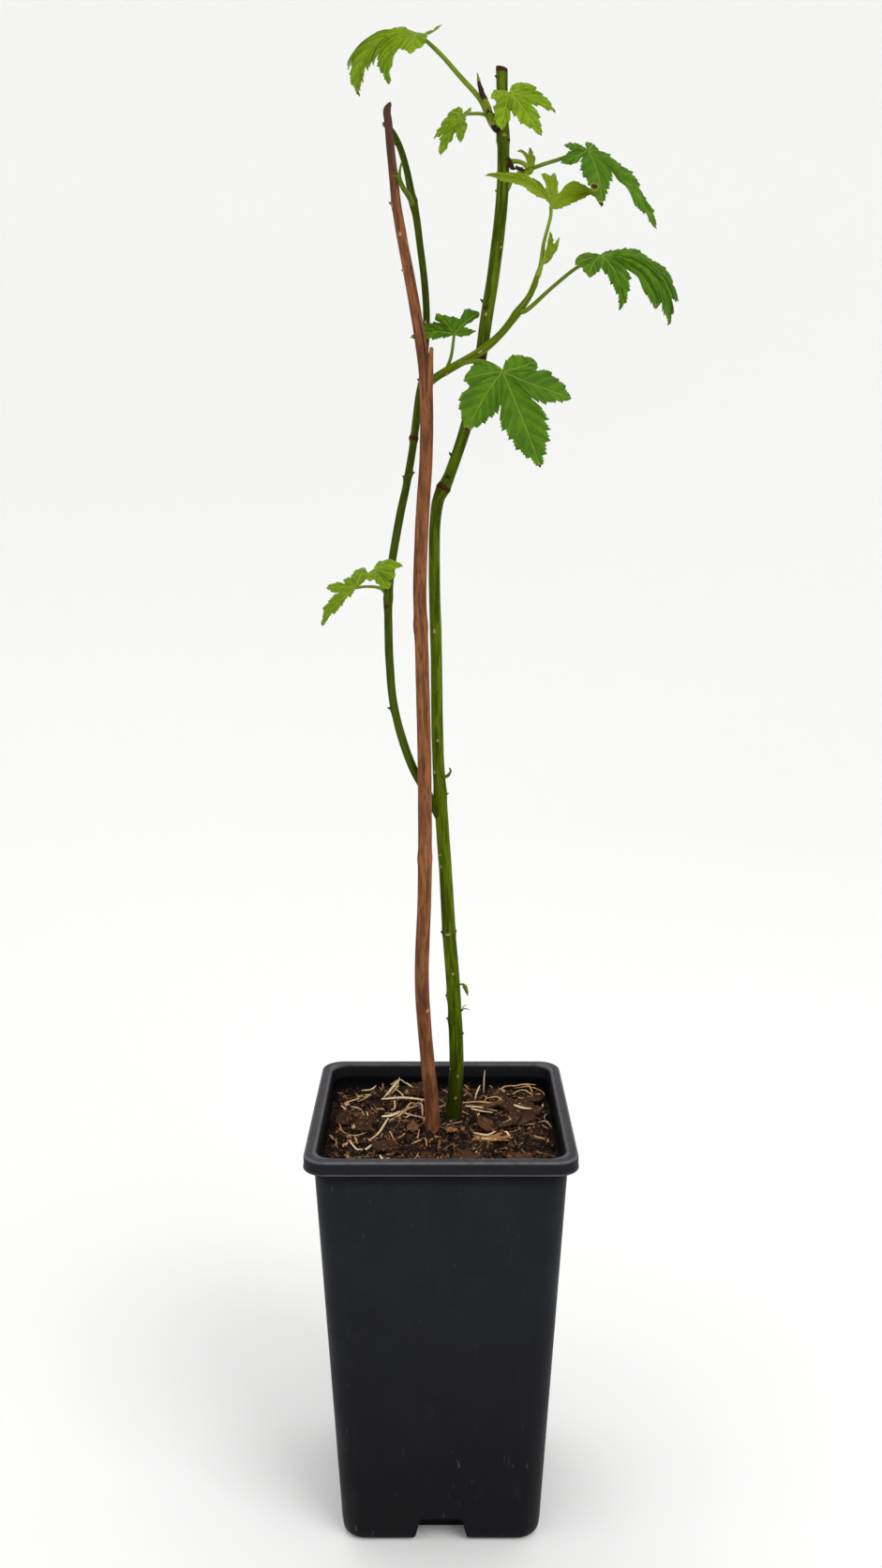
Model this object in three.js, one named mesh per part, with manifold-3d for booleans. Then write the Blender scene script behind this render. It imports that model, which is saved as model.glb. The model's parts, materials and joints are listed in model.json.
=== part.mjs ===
// A young sweet leaf bramble in a tall square nursery pot.
// Millimetres, +Z up, origin at the middle of the pot's flat underside, -Y is the front.
import * as THREE from "three";
import { mergeVertices } from "three/addons/utils/BufferGeometryUtils.js";
import Module from "manifold-3d";

const wasm = await Module();
wasm.setup();

// Driving sizes.
const GAP = 0.33;
const POT_HEIGHT = 240;
const RIM_WIDTH = 150;
const RIM_DEPTH = 8;
const BODY_TOP = 140;
const BODY_FOOT = 114;
const WALL = 1.8;
const FLOOR = 2.5;
const CORNER = 13;
const FOOT_ROUND = 4.5;
const NOTCH = { low: 29, high: 22, tall: 15, deep: 13.5 };
const DRAIN = { radius: 4.5, at: 30 };
const SOIL_TOP = 228;
const SOIL_ROUGH = 2.6;
const BLADE = 0.65;
const TEETH = 4;
const RIB = 4;
const TOOTH = 0.035;
const PEAK = 0.45;
const SOFT = 28;

// Small helpers.
let seed = 7;
function random() {
  seed = (seed * 16807) % 2147483647;
  return seed / 2147483647;
}

function solid(geometry) {
  let g = geometry.clone();
  g.deleteAttribute("normal");
  g.deleteAttribute("uv");
  g = mergeVertices(g, 1e-4);
  const mesh = new wasm.Mesh({
    numProp: 3,
    vertProperties: new Float32Array(g.attributes.position.array),
    triVerts: new Uint32Array(g.index.array),
  });
  return new wasm.Manifold(mesh);
}

function build(positions, faces) {
  const g = new THREE.BufferGeometry();
  g.setAttribute("position", new THREE.Float32BufferAttribute(positions.flat(), 3));
  g.setIndex(faces.flat());
  return solid(g);
}

function box(x0, x1, y0, y1, z0, z1) {
  const g = new THREE.BoxGeometry(x1 - x0, y1 - y0, z1 - z0);
  g.translate((x0 + x1) / 2, (y0 + y1) / 2, (z0 + z1) / 2);
  return solid(g);
}

function joined(solids) {
  return solids.reduce((all, one) => all.add(one));
}

// Keeps the largest connected piece, so that a cut leaves no loose scrap.
function largest(body) {
  const parts = body.decompose();
  parts.sort((a, b) => b.volume() - a.volume());
  return parts[0];
}

const plant = new THREE.Group();
plant.name = "potted_sweet_leaf_bramble";

function place(name, body, color, roughness) {
  const mesh = body.getMesh();
  const g = new THREE.BufferGeometry();
  g.setAttribute("position", new THREE.BufferAttribute(new Float32Array(mesh.vertProperties), 3));
  g.setIndex(new THREE.BufferAttribute(new Uint32Array(mesh.triVerts), 1));
  g.computeVertexNormals();
  const material = new THREE.MeshStandardMaterial({ color, roughness, metalness: 0 });
  const node = new THREE.Mesh(g, material);
  node.name = name;
  plant.add(node);
}

// The pot and what fills it.
// Rounded squares stacked as [half width, corner radius, height].
function stack(levels, steps = 5) {
  const ring = (half, corner, z) => {
    const points = [];
    for (let q = 0; q < 4; q++) {
      for (let i = 0; i <= steps; i++) {
        const a = (q + i / steps) * Math.PI / 2;
        const cx = (half - corner) * (q === 0 || q === 3 ? 1 : -1);
        const cy = (half - corner) * (q < 2 ? 1 : -1);
        points.push([cx + corner * Math.cos(a), cy + corner * Math.sin(a), z]);
      }
    }
    return points;
  };
  const n = 4 * (steps + 1);
  const positions = levels.flatMap((level) => ring(...level));
  const faces = [];
  for (let k = 0; k < levels.length - 1; k++) {
    for (let i = 0; i < n; i++) {
      const a = k * n + i;
      const b = k * n + (i + 1) % n;
      faces.push([a, b, b + n], [a, b + n, a + n]);
    }
  }
  const low = positions.length;
  positions.push([0, 0, levels[0][2]], [0, 0, levels[levels.length - 1][2]]);
  for (let i = 0; i < n; i++) {
    faces.push([low, (i + 1) % n, i]);
    const top = (levels.length - 1) * n;
    faces.push([low + 1, top + i, top + (i + 1) % n]);
  }
  return build(positions, faces);
}

function halfAt(z) {
  return (BODY_FOOT + (BODY_TOP - BODY_FOOT) * z / POT_HEIGHT) / 2;
}

function notch(grow) {
  const w = NOTCH.low / 2 + grow;
  const v = NOTCH.high / 2 + grow;
  const outline = new THREE.Shape();
  outline.moveTo(-w, -5);
  outline.lineTo(w, -5);
  outline.lineTo(w, 0);
  outline.lineTo(v + 1.5, NOTCH.tall + grow - 2);
  outline.lineTo(v - 1.5, NOTCH.tall + grow);
  outline.lineTo(-v + 1.5, NOTCH.tall + grow);
  outline.lineTo(-v - 1.5, NOTCH.tall + grow - 2);
  outline.lineTo(-w, 0);
  outline.closePath();
  const depth = NOTCH.deep + 10 + grow;
  const g = new THREE.ExtrudeGeometry(outline, { depth, bevelEnabled: false });
  g.rotateX(Math.PI / 2);
  g.translate(0, -BODY_FOOT / 2 + NOTCH.deep + grow, 0);
  return [0, 1, 2, 3].map((k) => solid(g.clone().rotateZ(k * Math.PI / 2)));
}

const rimHalf = RIM_WIDTH / 2;
const shoulder = POT_HEIGHT - RIM_DEPTH;
const outer = stack([
  [halfAt(0) - FOOT_ROUND, CORNER - 3, 0],
  [halfAt(0) - 0.3 * FOOT_ROUND, CORNER - 1, 0.3 * FOOT_ROUND],
  [halfAt(FOOT_ROUND), CORNER, FOOT_ROUND],
  [halfAt(shoulder), CORNER, shoulder],
  [rimHalf - 0.6, CORNER, shoulder],
  [rimHalf, CORNER, POT_HEIGHT - 1.5],
  [rimHalf - 1.2, CORNER - 1, POT_HEIGHT],
]);
const inner = stack([
  [halfAt(FLOOR) - WALL - 3, CORNER - WALL - 1, FLOOR],
  [halfAt(FLOOR + 3) - WALL, CORNER - WALL, FLOOR + 3],
  [halfAt(POT_HEIGHT) - WALL, CORNER - WALL, POT_HEIGHT + 0.5],
]);
const under = stack([
  [halfAt(shoulder) + 0.2, CORNER, shoulder - 1],
  [halfAt(shoulder) + 0.6, CORNER, POT_HEIGHT - WALL],
]);
const skirt = stack([
  [rimHalf - WALL - 0.6, CORNER, shoulder - 1],
  [rimHalf - WALL, CORNER, POT_HEIGHT - WALL],
]).subtract(under);

let pot = outer.subtract(inner.subtract(joined(notch(WALL)))).subtract(skirt);
pot = pot.subtract(joined(notch(0)));
for (const [sx, sy] of [[1, 1], [1, -1], [-1, 1], [-1, -1]]) {
  const drain = new THREE.CylinderGeometry(DRAIN.radius, DRAIN.radius, 12, 14);
  drain.rotateX(Math.PI / 2);
  drain.translate(sx * DRAIN.at, sy * DRAIN.at, 0);
  pot = pot.subtract(solid(drain));
}
place("pot", largest(pot), 0x1d1e21, 0.45);

// The stems stand on level ground within this distance of their feet.
const FEET = [[7.6, 13], [-4.8, -3]];
const LEVEL = 11;

function soilHeight(x, y) {
  const near = Math.min(...FEET.map(([a, b]) => Math.hypot(x - a, y - b)));
  const ease = Math.min(1, Math.max(0, (near - LEVEL) / 10));
  return SOIL_TOP - GAP + (random() - 0.5) * 2 * SOIL_ROUGH * ease;
}

function soil() {
  const cells = 16;
  const half = halfAt(SOIL_TOP) + 2;
  const positions = [];
  const faces = [];
  for (let j = 0; j <= cells; j++) {
    for (let i = 0; i <= cells; i++) {
      const x = -half + 2 * half * i / cells;
      const y = -half + 2 * half * j / cells;
      positions.push([x, y, soilHeight(x, y)]);
    }
  }
  const n = cells + 1;
  const edge = [];
  for (let j = 0; j < cells; j++) {
    for (let i = 0; i < cells; i++) {
      const a = j * n + i;
      faces.push([a, a + 1, a + n + 1], [a, a + n + 1, a + n]);
    }
  }
  for (let i = 0; i < cells; i++) edge.push(i);
  for (let j = 0; j < cells; j++) edge.push(j * n + cells);
  for (let i = cells; i > 0; i--) edge.push(cells * n + i);
  for (let j = cells; j > 0; j--) edge.push(j * n);
  const first = positions.length;
  for (const k of edge) positions.push([positions[k][0], positions[k][1], -5]);
  const floor = positions.length;
  positions.push([0, 0, -5]);
  edge.forEach((k, i) => {
    const next = (i + 1) % edge.length;
    faces.push([k, first + i, first + next], [k, first + next, edge[next]]);
    faces.push([floor, first + next, first + i]);
  });
  return build(positions, faces);
}

const fill = stack([
  [halfAt(FLOOR) - WALL - 3 - 1.4 * GAP, CORNER - WALL - GAP - 1, FLOOR + GAP],
  [halfAt(FLOOR + 3) - WALL - 1.4 * GAP, CORNER - WALL - GAP, FLOOR + 3 + GAP],
  [halfAt(POT_HEIGHT) - WALL - GAP, CORNER - WALL - GAP, POT_HEIGHT],
]);
const compost = fill.intersect(soil()).subtract(joined(notch(WALL + GAP)));
place("compost", largest(compost), 0x2f211b, 0.95);

// Limbs.
// A limb is a tapering round stem through [x, y, z, radius] stations.
function limb(stations, grow = 0, sides = 8, spacing = 9) {
  const path = stations.map(([x, y, z]) => new THREE.Vector3(x, y, z));
  const curve = new THREE.CatmullRomCurve3(path, false, "centripetal");
  const last = stations.length - 1;
  const marks = [0];
  for (let i = 0; i < last; i++) {
    const span = path[i].distanceTo(path[i + 1]);
    const steps = Math.max(1, Math.round(span / spacing));
    for (let k = 1; k <= steps; k++) marks.push((i + k / steps) / last);
  }
  const positions = [];
  const side = new THREE.Vector3();
  marks.forEach((t, k) => {
    const at = curve.getPoint(t);
    const along = curve.getTangent(t);
    if (k === 0) side.set(0, 1, 0);
    side.addScaledVector(along, -side.dot(along)).normalize();
    const across = new THREE.Vector3().crossVectors(along, side);
    const i = Math.min(last - 1, Math.floor(t * last));
    const r = THREE.MathUtils.lerp(stations[i][3], stations[i + 1][3], t * last - i) + grow;
    for (let s = 0; s < sides; s++) {
      const a = 2 * Math.PI * s / sides;
      const p = at.clone().addScaledVector(side, r * Math.cos(a));
      p.addScaledVector(across, r * Math.sin(a));
      positions.push(p.toArray());
    }
  });
  const faces = [];
  for (let k = 0; k < marks.length - 1; k++) {
    for (let s = 0; s < sides; s++) {
      const a = k * sides + s;
      const b = k * sides + (s + 1) % sides;
      faces.push([a, b, b + sides], [a, b + sides, a + sides]);
    }
  }
  const top = (marks.length - 1) * sides;
  for (let s = 1; s < sides - 1; s++) {
    faces.push([0, s + 1, s], [top, top + s, top + s + 1]);
  }
  return build(positions, faces);
}

const TRUNK = [
  [7.5, 13.2, 222, 5.6], [7.6, 13, 230, 5], [8.2, 12, 242, 4.4], [9.1, 10, 265, 4.2],
  [7.4, 7, 307, 4], [4.6, 5, 344, 3.9], [2.4, 4, 383, 3.7], [-0.3, 3, 424, 3.6],
  [-1.8, 2, 451, 3.3], [-2.6, 1, 504, 3.2], [-3.6, 0, 545, 3.1], [-3.3, 0, 576, 3],
  [-1.5, 0, 589, 3.2], [0.6, 0, 594, 3.6], [3.2, 0, 599, 3.1], [9.3, 0, 615, 3],
  [14.1, 0, 630, 3.1], [21, 0, 662, 3.2], [24.1, 0, 683, 3.3], [27.9, 0, 707, 3.3],
  [31.9, 0, 743, 3.2], [32.6, 0, 768, 3.1], [32.3, 0, 776, 3.5], [32, 0, 784, 3],
  [31.5, 0, 808, 3],
];
const SHOOT_LOW = [
  [-1, 3, 413, 2.6], [-7.7, 0, 427, 2.6], [-14.4, -3, 439, 2.4], [-21.1, -5, 457, 2.4],
  [-26.3, -4, 478, 2.3], [-28.6, -2, 504, 2.3], [-29.1, -0.6, 527, 2.3],
];
const SHOOT_HIGH = [
  [-29.1, -0.6, 527.3, 2.3], [-29.1, 0, 536, 2.5], [-27, 1, 555, 2.2], [-22.3, 2, 581, 2.2],
  [-18.6, 3, 598, 2.1], [-15.5, 4.5, 616, 2.1], [-11.9, 6, 643, 2.2], [-9.9, 6.4, 655, 2],
  [-7.8, 6.8, 683, 1.9], [-8.8, 6.6, 703, 1.9], [-11.2, 5.8, 722, 1.9], [-13.1, 4.4, 736, 2],
  [-15.2, 3, 745, 2.1], [-18.3, 3, 760, 1.8], [-21.9, 3, 771, 1.7], [-25.6, 4, 778, 1.6],
  [-28.2, 5, 780.8, 1.3], [-30.6, 5, 783, 1],
];
const DEAD_CANE = [
  [-4.9, -3, 222, 4.6], [-5, -3, 230, 4.3], [-5.2, -3, 240, 4.1], [-7.9, -4, 271, 4],
  [-11, -6, 319, 4], [-9.3, -8, 372, 3.9], [-9.1, -10, 437, 3.8], [-10.5, -10, 505, 3.7],
  [-11.5, -10, 539, 3.6], [-10.3, -10, 575, 3.6], [-7.8, -9, 615, 3.5], [-7.7, -8, 639, 3.5],
  [-8.2, -8, 654, 3.4], [-9.7, -8, 665, 3.2], [-12.6, -8, 681, 2.9], [-16.2, -8, 701, 2.8],
  [-20.8, -8, 725, 2.6], [-23, -8, 738, 2.5], [-24.5, -8, 752, 2.3], [-26, -8, 766, 2.1],
  [-27.2, -8, 779.5, 2], [-27.8, -8, 785, 1.9], [-25.8, -8, 789.2, 0.8],
];
const DEAD_STUB = [[-7.6, -8.6, 632, 2.6], [-6.4, -9, 648, 2.2], [-4.9, -9.4, 668, 1.1]];
const BRANCH = [
  [-10.8, 6, 648, 2.2], [-6.3, 3, 651, 2.2], [-1.8, 0, 654, 2.1], [3.8, -2.5, 657, 2.1],
  [9.7, -5, 660, 2.1], [21.1, -7.5, 666, 2.3], [31.9, -8, 675, 1.9], [40.7, -8, 686, 2],
  [46.6, -8, 694, 1.6], [50.4, -8, 703, 1.5],
];
const SPROUTS = [
  [[-0.5, 2, 436, 1.2], [3.6, -1, 437, 0.9], [5.4, -2, 440, 0.6], [4.6, -2, 442, 0.4]],
  [[-0.6, 2, 425, 1.2], [4.6, 0, 427, 0.4]],
  [[7, 6.5, 312, 1.4], [12.6, 3, 315, 1.1], [14, 2, 320, 0.4]],
  [[8, 8, 293, 1.2], [14, 5, 295, 0.7], [15, 4, 298, 0.3]],
];

const below = box(-60, 60, -60, 60, 200, SOIL_TOP);
const buds = SPROUTS.map((stations) => limb(stations, 0, 5, 6));
place("trunk", limb(TRUNK).add(joined(buds)).subtract(below), 0x4f6f18, 0.6);

const roundTrunk = limb(TRUNK, GAP).add(joined(SPROUTS.map((s) => limb(s, GAP, 5, 6))));
place("left_shoot_low", largest(limb(SHOOT_LOW).subtract(roundTrunk)), 0x4c6a1a, 0.6);
const shootHigh = limb(SHOOT_HIGH);
place("left_shoot_high", shootHigh, 0x44661c, 0.6);
const deadCane = limb(DEAD_CANE).add(limb(DEAD_STUB, 0, 7));
place("dead_cane", deadCane.subtract(below), 0x7a4a33, 0.8);
const roundShoot = limb(SHOOT_HIGH, GAP);
place("side_branch", largest(limb(BRANCH).subtract(roundShoot)), 0x6f8420, 0.6);
const roundBranch = limb(BRANCH, GAP);

// Leaves.
// aim is [yaw, pitch, roll] of the blade at its base; each lobe is
// [heading, length ratio, half width left, half width right, droop, sweep],
// and each notch between lobes is [distance ratio, heading].
const LEAF = {
  top: {
    base: [-13.5, 22, 832], aim: [193, 5, -30], length: 51, fold: 0.12,
    lobes: [
      [-150, 0.32, 0.06, 0.15, -60, 0], [-80, 0.4, 0.28, 0.24, 36, 4],
      [-35, 0.69, 0.2, 0.18, 140, 0], [2, 1.01, 0.08, 0.2, 106, 10], [36, 1.01, 0.14, 0.12, 63, 3],
    ],
    notches: [[0.15, -115], [0.3, -45], [0.4, -16], [0.55, 19]],
  },
  small: {
    base: [11, -6, 783.5], aim: [196, -55, -29], length: 25.5, fold: 0.12,
    lobes: [
      [-99, 0.44, 0.25, 0.25, -45, 8], [-36, 0.77, 0.26, 0.1, 1, -1],
      [-2, 0.95, 0.1, 0.19, 5, -4], [37, 0.76, 0.12, 0.22, 12, 4], [100, 0.45, 0.25, 0.25, -1, -1],
    ],
    notches: [[0.25, -66], [0.38, -18], [0.6, 28], [0.38, 80]],
  },
  front: {
    base: [35, -16, 791], aim: [-44, -42, 34], length: 31, fold: 0.12,
    lobes: [
      [-96, 0.49, 0.28, 0.2, 4, 15], [-49, 0.82, 0.25, 0.24, 31, 4],
      [1, 0.99, 0.19, 0.22, 17, 0], [47, 0.78, 0.16, 0.3, 22, -3], [97, 0.43, 0.2, 0.3, -33, -15],
    ],
    notches: [[0.36, -81], [0.34, -25], [0.22, 34], [0.36, 74]],
  },
  upper: {
    base: [78, 14, 771.5], aim: [1, -28, 49], length: 53, fold: 0.12,
    lobes: [
      [-81, 0.2, 0.3, 0.3, 21, -5], [0, 1.05, 0.1, 0.15, 33, 7],
      [44, 0.71, 0.12, 0.23, 9, 14], [111, 0.4, 0.2, 0.18, 11, 7], [157, 0.32, 0.12, 0.14, -25, -23],
    ],
    notches: [[0.12, -40], [0.31, 10], [0.11, 94], [0.22, 134]],
  },
  right: {
    base: [81.5, -26, 710.5], aim: [-5, 2, 38], length: 50, fold: 0.12,
    lobes: [
      [-19, 1.12, 0.08, 0.14, 50, 14], [0, 1.2, 0.12, 0.12, 107, 2],
      [16, 0.87, 0.15, 0.12, 81, -1], [52, 0.69, 0.14, 0.1, 128, 2],
      [128, 0.34, 0.24, 0.3, 28, -16], [168, 0.32, 0.3, 0.3, -6, -23],
    ],
    notches: [[0.87, -4], [0.56, 13], [0.22, 24], [0.18, 99], [0.2, 148]],
  },
  young: {
    base: [57.5, -8, 737.5], aim: [37, 93, 130], length: 45, fold: 0.3,
    lobes: [
      [-68, 1.1, 0.09, 0.07, 75, -3], [-16, 0.39, 0.14, 0.14, 46, 0],
      [12, 0.43, 0.16, 0.13, -28, 9], [54, 0.82, 0.24, 0.13, -77, 13],
    ],
    notches: [[0.29, -57], [0.32, -7], [0.15, 33]],
  },
  broad: {
    base: [32, -24, 653.5], aim: [-54, -54, 19], length: 56, fold: 0.12,
    lobes: [
      [-94, 0.41, 0.3, 0.22, 14, -8], [-48, 0.7, 0.26, 0.2, 13, -10],
      [1, 1, 0.18, 0.2, 22, -3], [53, 0.73, 0.2, 0.28, 23, -5], [97, 0.4, 0.2, 0.3, 2, -9],
    ],
    notches: [[0.24, -77], [0.3, -21], [0.31, 26], [0.34, 81]],
  },
  low: {
    base: [7, 3, 676], aim: [-15, 85, 103], length: 23.5, fold: 0.12,
    lobes: [
      [-77, 1.03, 0.14, 0.14, -19, -24], [-35, 0.62, 0.26, 0.2, -37, -12],
      [36, 0.79, 0.3, 0.2, 34, 8], [80, 0.62, 0.1, 0.12, -75, 0],
    ],
    notches: [[0.4, -49], [0.35, 14], [0.26, 46]],
  },
  long: {
    base: [-47.5, 12, 541.5], aim: [163, 4, -54], length: 34, fold: 0.12,
    lobes: [
      [-48, 0.98, 0.08, 0.13, 65, 8], [1, 0.72, 0.13, 0.18, 43, 12],
      [44, 0.4, 0.2, 0.15, 36, -10], [93, 0.5, 0.28, 0.25, 26, -6],
    ],
    notches: [[0.26, -26], [0.15, 17], [0.15, 59]],
  },
  wide: {
    base: [-36.5, -10, 551.5], aim: [-63, -23, 41], length: 20, fold: 0.12,
    lobes: [
      [-77, 0.84, 0.36, 0.26, 52, 3], [-32, 0.76, 0.2, 0.2, 18, 10],
      [0, 0.86, 0.36, 0.36, 31, 1], [53, 0.48, 0.25, 0.3, -11, -17],
    ],
    notches: [[0.55, -42], [0.65, -15], [0.41, 31]],
  },
  bract: {
    base: [52.7, -7, 709.5], aim: [9, 56, 144], length: 19.5, fold: 0.3,
    lobes: [[-16, 0.9, 0.12, 0.12, 0, -28], [12, 0.88, 0.12, 0.14, 0, -5]],
    notches: [[0.7, -2]],
  },
  fold: {
    base: [-21.9, -12.5, 747.5], aim: [16, 103, 102], length: 9.6, fold: 0.3,
    lobes: [[-62, 0.49, 0.16, 0.16, 0, -18], [21, 0.99, 0.14, 0.14, 0, 9]],
    notches: [[0.25, -21]],
  },
  bud: {
    base: [25.5, -7, 783], aim: [136, 58, 166], length: 24.5, fold: 0.3,
    lobes: [[1, 1.04, 0.07, 0.07, 0, -9]],
    notches: [],
  },
  claw: {
    base: [45, -4, 758.5], aim: [32, 70, 125], length: 12, fold: 0.3,
    lobes: [
      [-29, 0.97, 0.12, 0.12, 102, 17], [9, 0.98, 0.12, 0.1, 24, -4], [39, 0.85, 0.16, 0.14, -5, -18],
    ],
    notches: [[0.3, -10], [0.4, 24]],
  },
};

const rad = THREE.MathUtils.degToRad;

// Weighted mean of one lobe value at a heading, so the blade curves smoothly across its lobes.
function blended(leaf, heading, value) {
  let sum = 0;
  let weight = 1e-9;
  for (const lobe of leaf.lobes) {
    const w = Math.exp(-(((heading - lobe[0]) / SOFT) ** 2));
    sum += w * value(lobe);
    weight += w;
  }
  return sum / weight;
}

function leafFrame(leaf) {
  const [yaw, pitch, roll] = leaf.aim.map(rad);
  const cos = Math.cos(pitch);
  const forward = new THREE.Vector3(cos * Math.cos(yaw), cos * Math.sin(yaw), Math.sin(pitch));
  const level = new THREE.Vector3(Math.sin(yaw), -Math.cos(yaw), 0);
  const up = new THREE.Vector3().crossVectors(level, forward);
  const normal = up.clone().multiplyScalar(Math.cos(roll)).addScaledVector(level, Math.sin(roll));
  const right = level.clone().multiplyScalar(Math.cos(roll)).addScaledVector(up, -Math.sin(roll));
  return { forward, right, normal };
}

// The point of the blade at a distance and a heading from its base.
function onBlade(leaf, distance, heading) {
  const { forward, right, normal } = leafFrame(leaf);
  const bend = blended(leaf, heading, (l) => rad(l[4]) / (leaf.length * l[1]));
  const swing = blended(leaf, heading, (l) => l[5] / (leaf.length * l[1]));
  const angle = rad(heading + swing * distance);
  const out = forward.clone().multiplyScalar(Math.cos(angle)).addScaledVector(right, Math.sin(angle));
  const turn = bend * distance;
  const flat = Math.abs(turn) < 1e-6;
  const reach = flat ? distance : Math.sin(turn) / bend;
  const drop = flat ? 0 : (1 - Math.cos(turn)) / bend;
  const off = Math.min(60, ...leaf.lobes.map((l) => Math.abs(heading - l[0])));
  const lift = leaf.fold * distance * Math.sin(rad(off));
  const face = normal.clone().multiplyScalar(Math.cos(turn)).addScaledVector(out, Math.sin(turn));
  return new THREE.Vector3(...leaf.base)
    .addScaledVector(out, reach)
    .addScaledVector(normal, -drop)
    .addScaledVector(face, lift);
}

// Distance along and beside a midrib for the toothed margin, from the notch to the tip.
function margin(length, width, along, beside, limit) {
  const points = [[along, beside]];
  const open = Math.tan(rad(limit));
  const profile = (q) => {
    const bulge = (q / PEAK) ** 0.9 * ((1 - q) / (1 - PEAK)) ** (0.9 * (1 - PEAK) / PEAK);
    return beside * (1 - q) ** 1.8 + (width - beside * (1 - PEAK) ** 1.8) * bulge;
  };
  for (let i = 0; i < TEETH; i++) {
    const q0 = i / TEETH;
    const q1 = (i + 1) / TEETH;
    if (i === TEETH - 1) {
      const q = q0 + 0.4 * (q1 - q0);
      const t = along + (length - along) * q;
      points.push([t, Math.min(profile(q), t * open)]);
      break;
    }
    const qt = q0 + 0.8 * (q1 - q0);
    const tooth = i > 0 || beside === 0 ? TOOTH * length * (1 - 0.5 * qt) : 0;
    const t = along + (length - along) * qt;
    const u = along + (length - along) * q1;
    points.push([t, Math.min(profile(qt) + tooth, t * open)]);
    points.push([u, Math.min(Math.max(0.25, profile(q1) - 0.2 * TOOTH * length), u * open * 0.97)]);
  }
  points.push([length, 0]);
  return points;
}

// Splits the space between two rows of points that run from the base to the tip.
function zip(ribs, edge, along, flip, faces) {
  let a = 0;
  let b = 0;
  while (a < ribs.length - 1 || b < edge.length - 1) {
    const stepRib = b === edge.length - 1
      || (a < ribs.length - 1 && along(ribs[a + 1]) <= along(edge[b + 1]));
    const next = stepRib ? ribs[a + 1] : edge[b + 1];
    const face = [ribs[a], next, edge[b]];
    if (new Set(face).size === 3) faces.push(flip ? face.reverse() : face);
    if (stepRib) a += 1;
    else b += 1;
  }
}

// A leaf is one closed blade: strips from each midrib to its toothed margin, doubled by
// the blade's thickness and walled along the outline.
function blade(leaf, thick = BLADE) {
  const flat = [[0, 0, 0]];
  const faces = [];
  const rim = [];
  const at = (t, x, heading) => {
    flat.push([Math.hypot(t, x), heading + Math.atan2(x, t) * 180 / Math.PI, t]);
    return flat.length - 1;
  };
  const notches = leaf.notches.map(([ratio, heading]) => at(ratio * leaf.length, 0, heading));
  leaf.lobes.forEach(([heading, ratio, left, right], i) => {
    const length = ratio * leaf.length;
    const ribs = [0];
    for (let k = 1; k < RIB; k++) ribs.push(at(length * k / RIB, 0, heading));
    ribs.push(at(length, 0, heading));
    [[-1, left, i - 1], [1, right, i]].forEach(([side, width, j]) => {
      const notched = j >= 0 && j < leaf.notches.length;
      const apart = notched ? Math.abs(leaf.notches[j][1] - heading) : 62;
      const start = notched ? leaf.notches[j][0] * leaf.length : 0;
      const along = start * Math.cos(rad(apart));
      const points = margin(length, width * length, along, start * Math.sin(rad(apart)), apart);
      const edge = [0];
      if (notched) edge.push(notches[j]);
      points.slice(1, -1).forEach(([t, x]) => edge.push(at(t, side * x, heading)));
      edge.push(ribs[RIB]);
      const reach = (k) => (notched && k === notches[j] ? along : flat[k][2]);
      zip(ribs, edge, reach, side < 0, faces);
      const shown = notched ? edge.slice(1) : edge;
      rim.push(side < 0 ? shown : shown.reverse());
    });
  });
  const loop = rim.flatMap((row) => row.slice(0, -1));
  const { normal } = leafFrame(leaf);
  const points = flat.map(([r, h]) => onBlade(leaf, r, h));
  const facing = flat.map(([r, h]) => {
    if (r === 0) return normal;
    const out = onBlade(leaf, r + 0.2, h).sub(onBlade(leaf, r - 0.2, h));
    const over = onBlade(leaf, r, h + 1.5).sub(onBlade(leaf, r, h - 1.5));
    return over.cross(out).normalize();
  });
  const sheet = (shift) => points.map((p, k) => p.clone().addScaledVector(facing[k], shift).toArray());
  const n = flat.length;
  const all = [
    ...faces,
    ...faces.map(([a, b, c]) => [a + n, c + n, b + n]),
  ];
  loop.forEach((a, k) => {
    const b = loop[(k + 1) % loop.length];
    all.push([a, b + n, b], [a, a + n, b + n]);
  });
  return build([...sheet(-thick / 2), ...sheet(thick / 2)], all);
}

// A stalk runs from inside its limb to the leaf's base and a little way into the blade.
function stalk(stations, leaf, sides = 6) {
  const { forward } = leafFrame(leaf);
  const end = new THREE.Vector3(...leaf.base).addScaledVector(forward, 2).toArray();
  const tip = stations[stations.length - 1][3];
  return limb([...stations, [...leaf.base, tip], [...end, 0.5]], 0, sides);
}

function spray(name, solids, cuts, color) {
  place(name, largest(cuts.reduce((body, cut) => body.subtract(cut), joined(solids))), color, 0.7);
}

const topStalk = [
  [29, 0, 779, 1.9], [26.7, 2.5, 782, 1.9], [20.4, 7, 795, 1.4], [9.6, 12, 808, 1.3],
  [-0.2, 17, 820, 1.2], [-8.9, 20.5, 828.5, 1],
];
const smallStalk = [
  [29, 0, 779, 1.4], [26, -3.5, 782, 1.3], [22, -5, 784, 0.9], [15, -6, 784, 0.8],
];
const frontStalk = [[29, 0, 779, 1.6], [27.4, -5, 780, 1.4], [29.6, -10, 784, 1], [33, -14, 788.5, 0.9]];
spray("top_spray", [
  stalk(topStalk, LEAF.top),
  stalk(smallStalk, LEAF.small),
  stalk(frontStalk, LEAF.front),
  limb([[29, 0, 779, 1.6], [26.4, -5, 781.5, 1.4], [...LEAF.bud.base, 1], [24, -6, 786, 0.5]], 0, 6),
  limb([[27.4, 4, 781, 1.3], [26.4, 0, 781.5, 1.9], [27.4, -5, 781, 1.5]], 0, 6, 3),
  ...["top", "small", "front", "bud"].map((name) => blade(LEAF[name])),
], [roundTrunk], 0x5a8a20);

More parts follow.
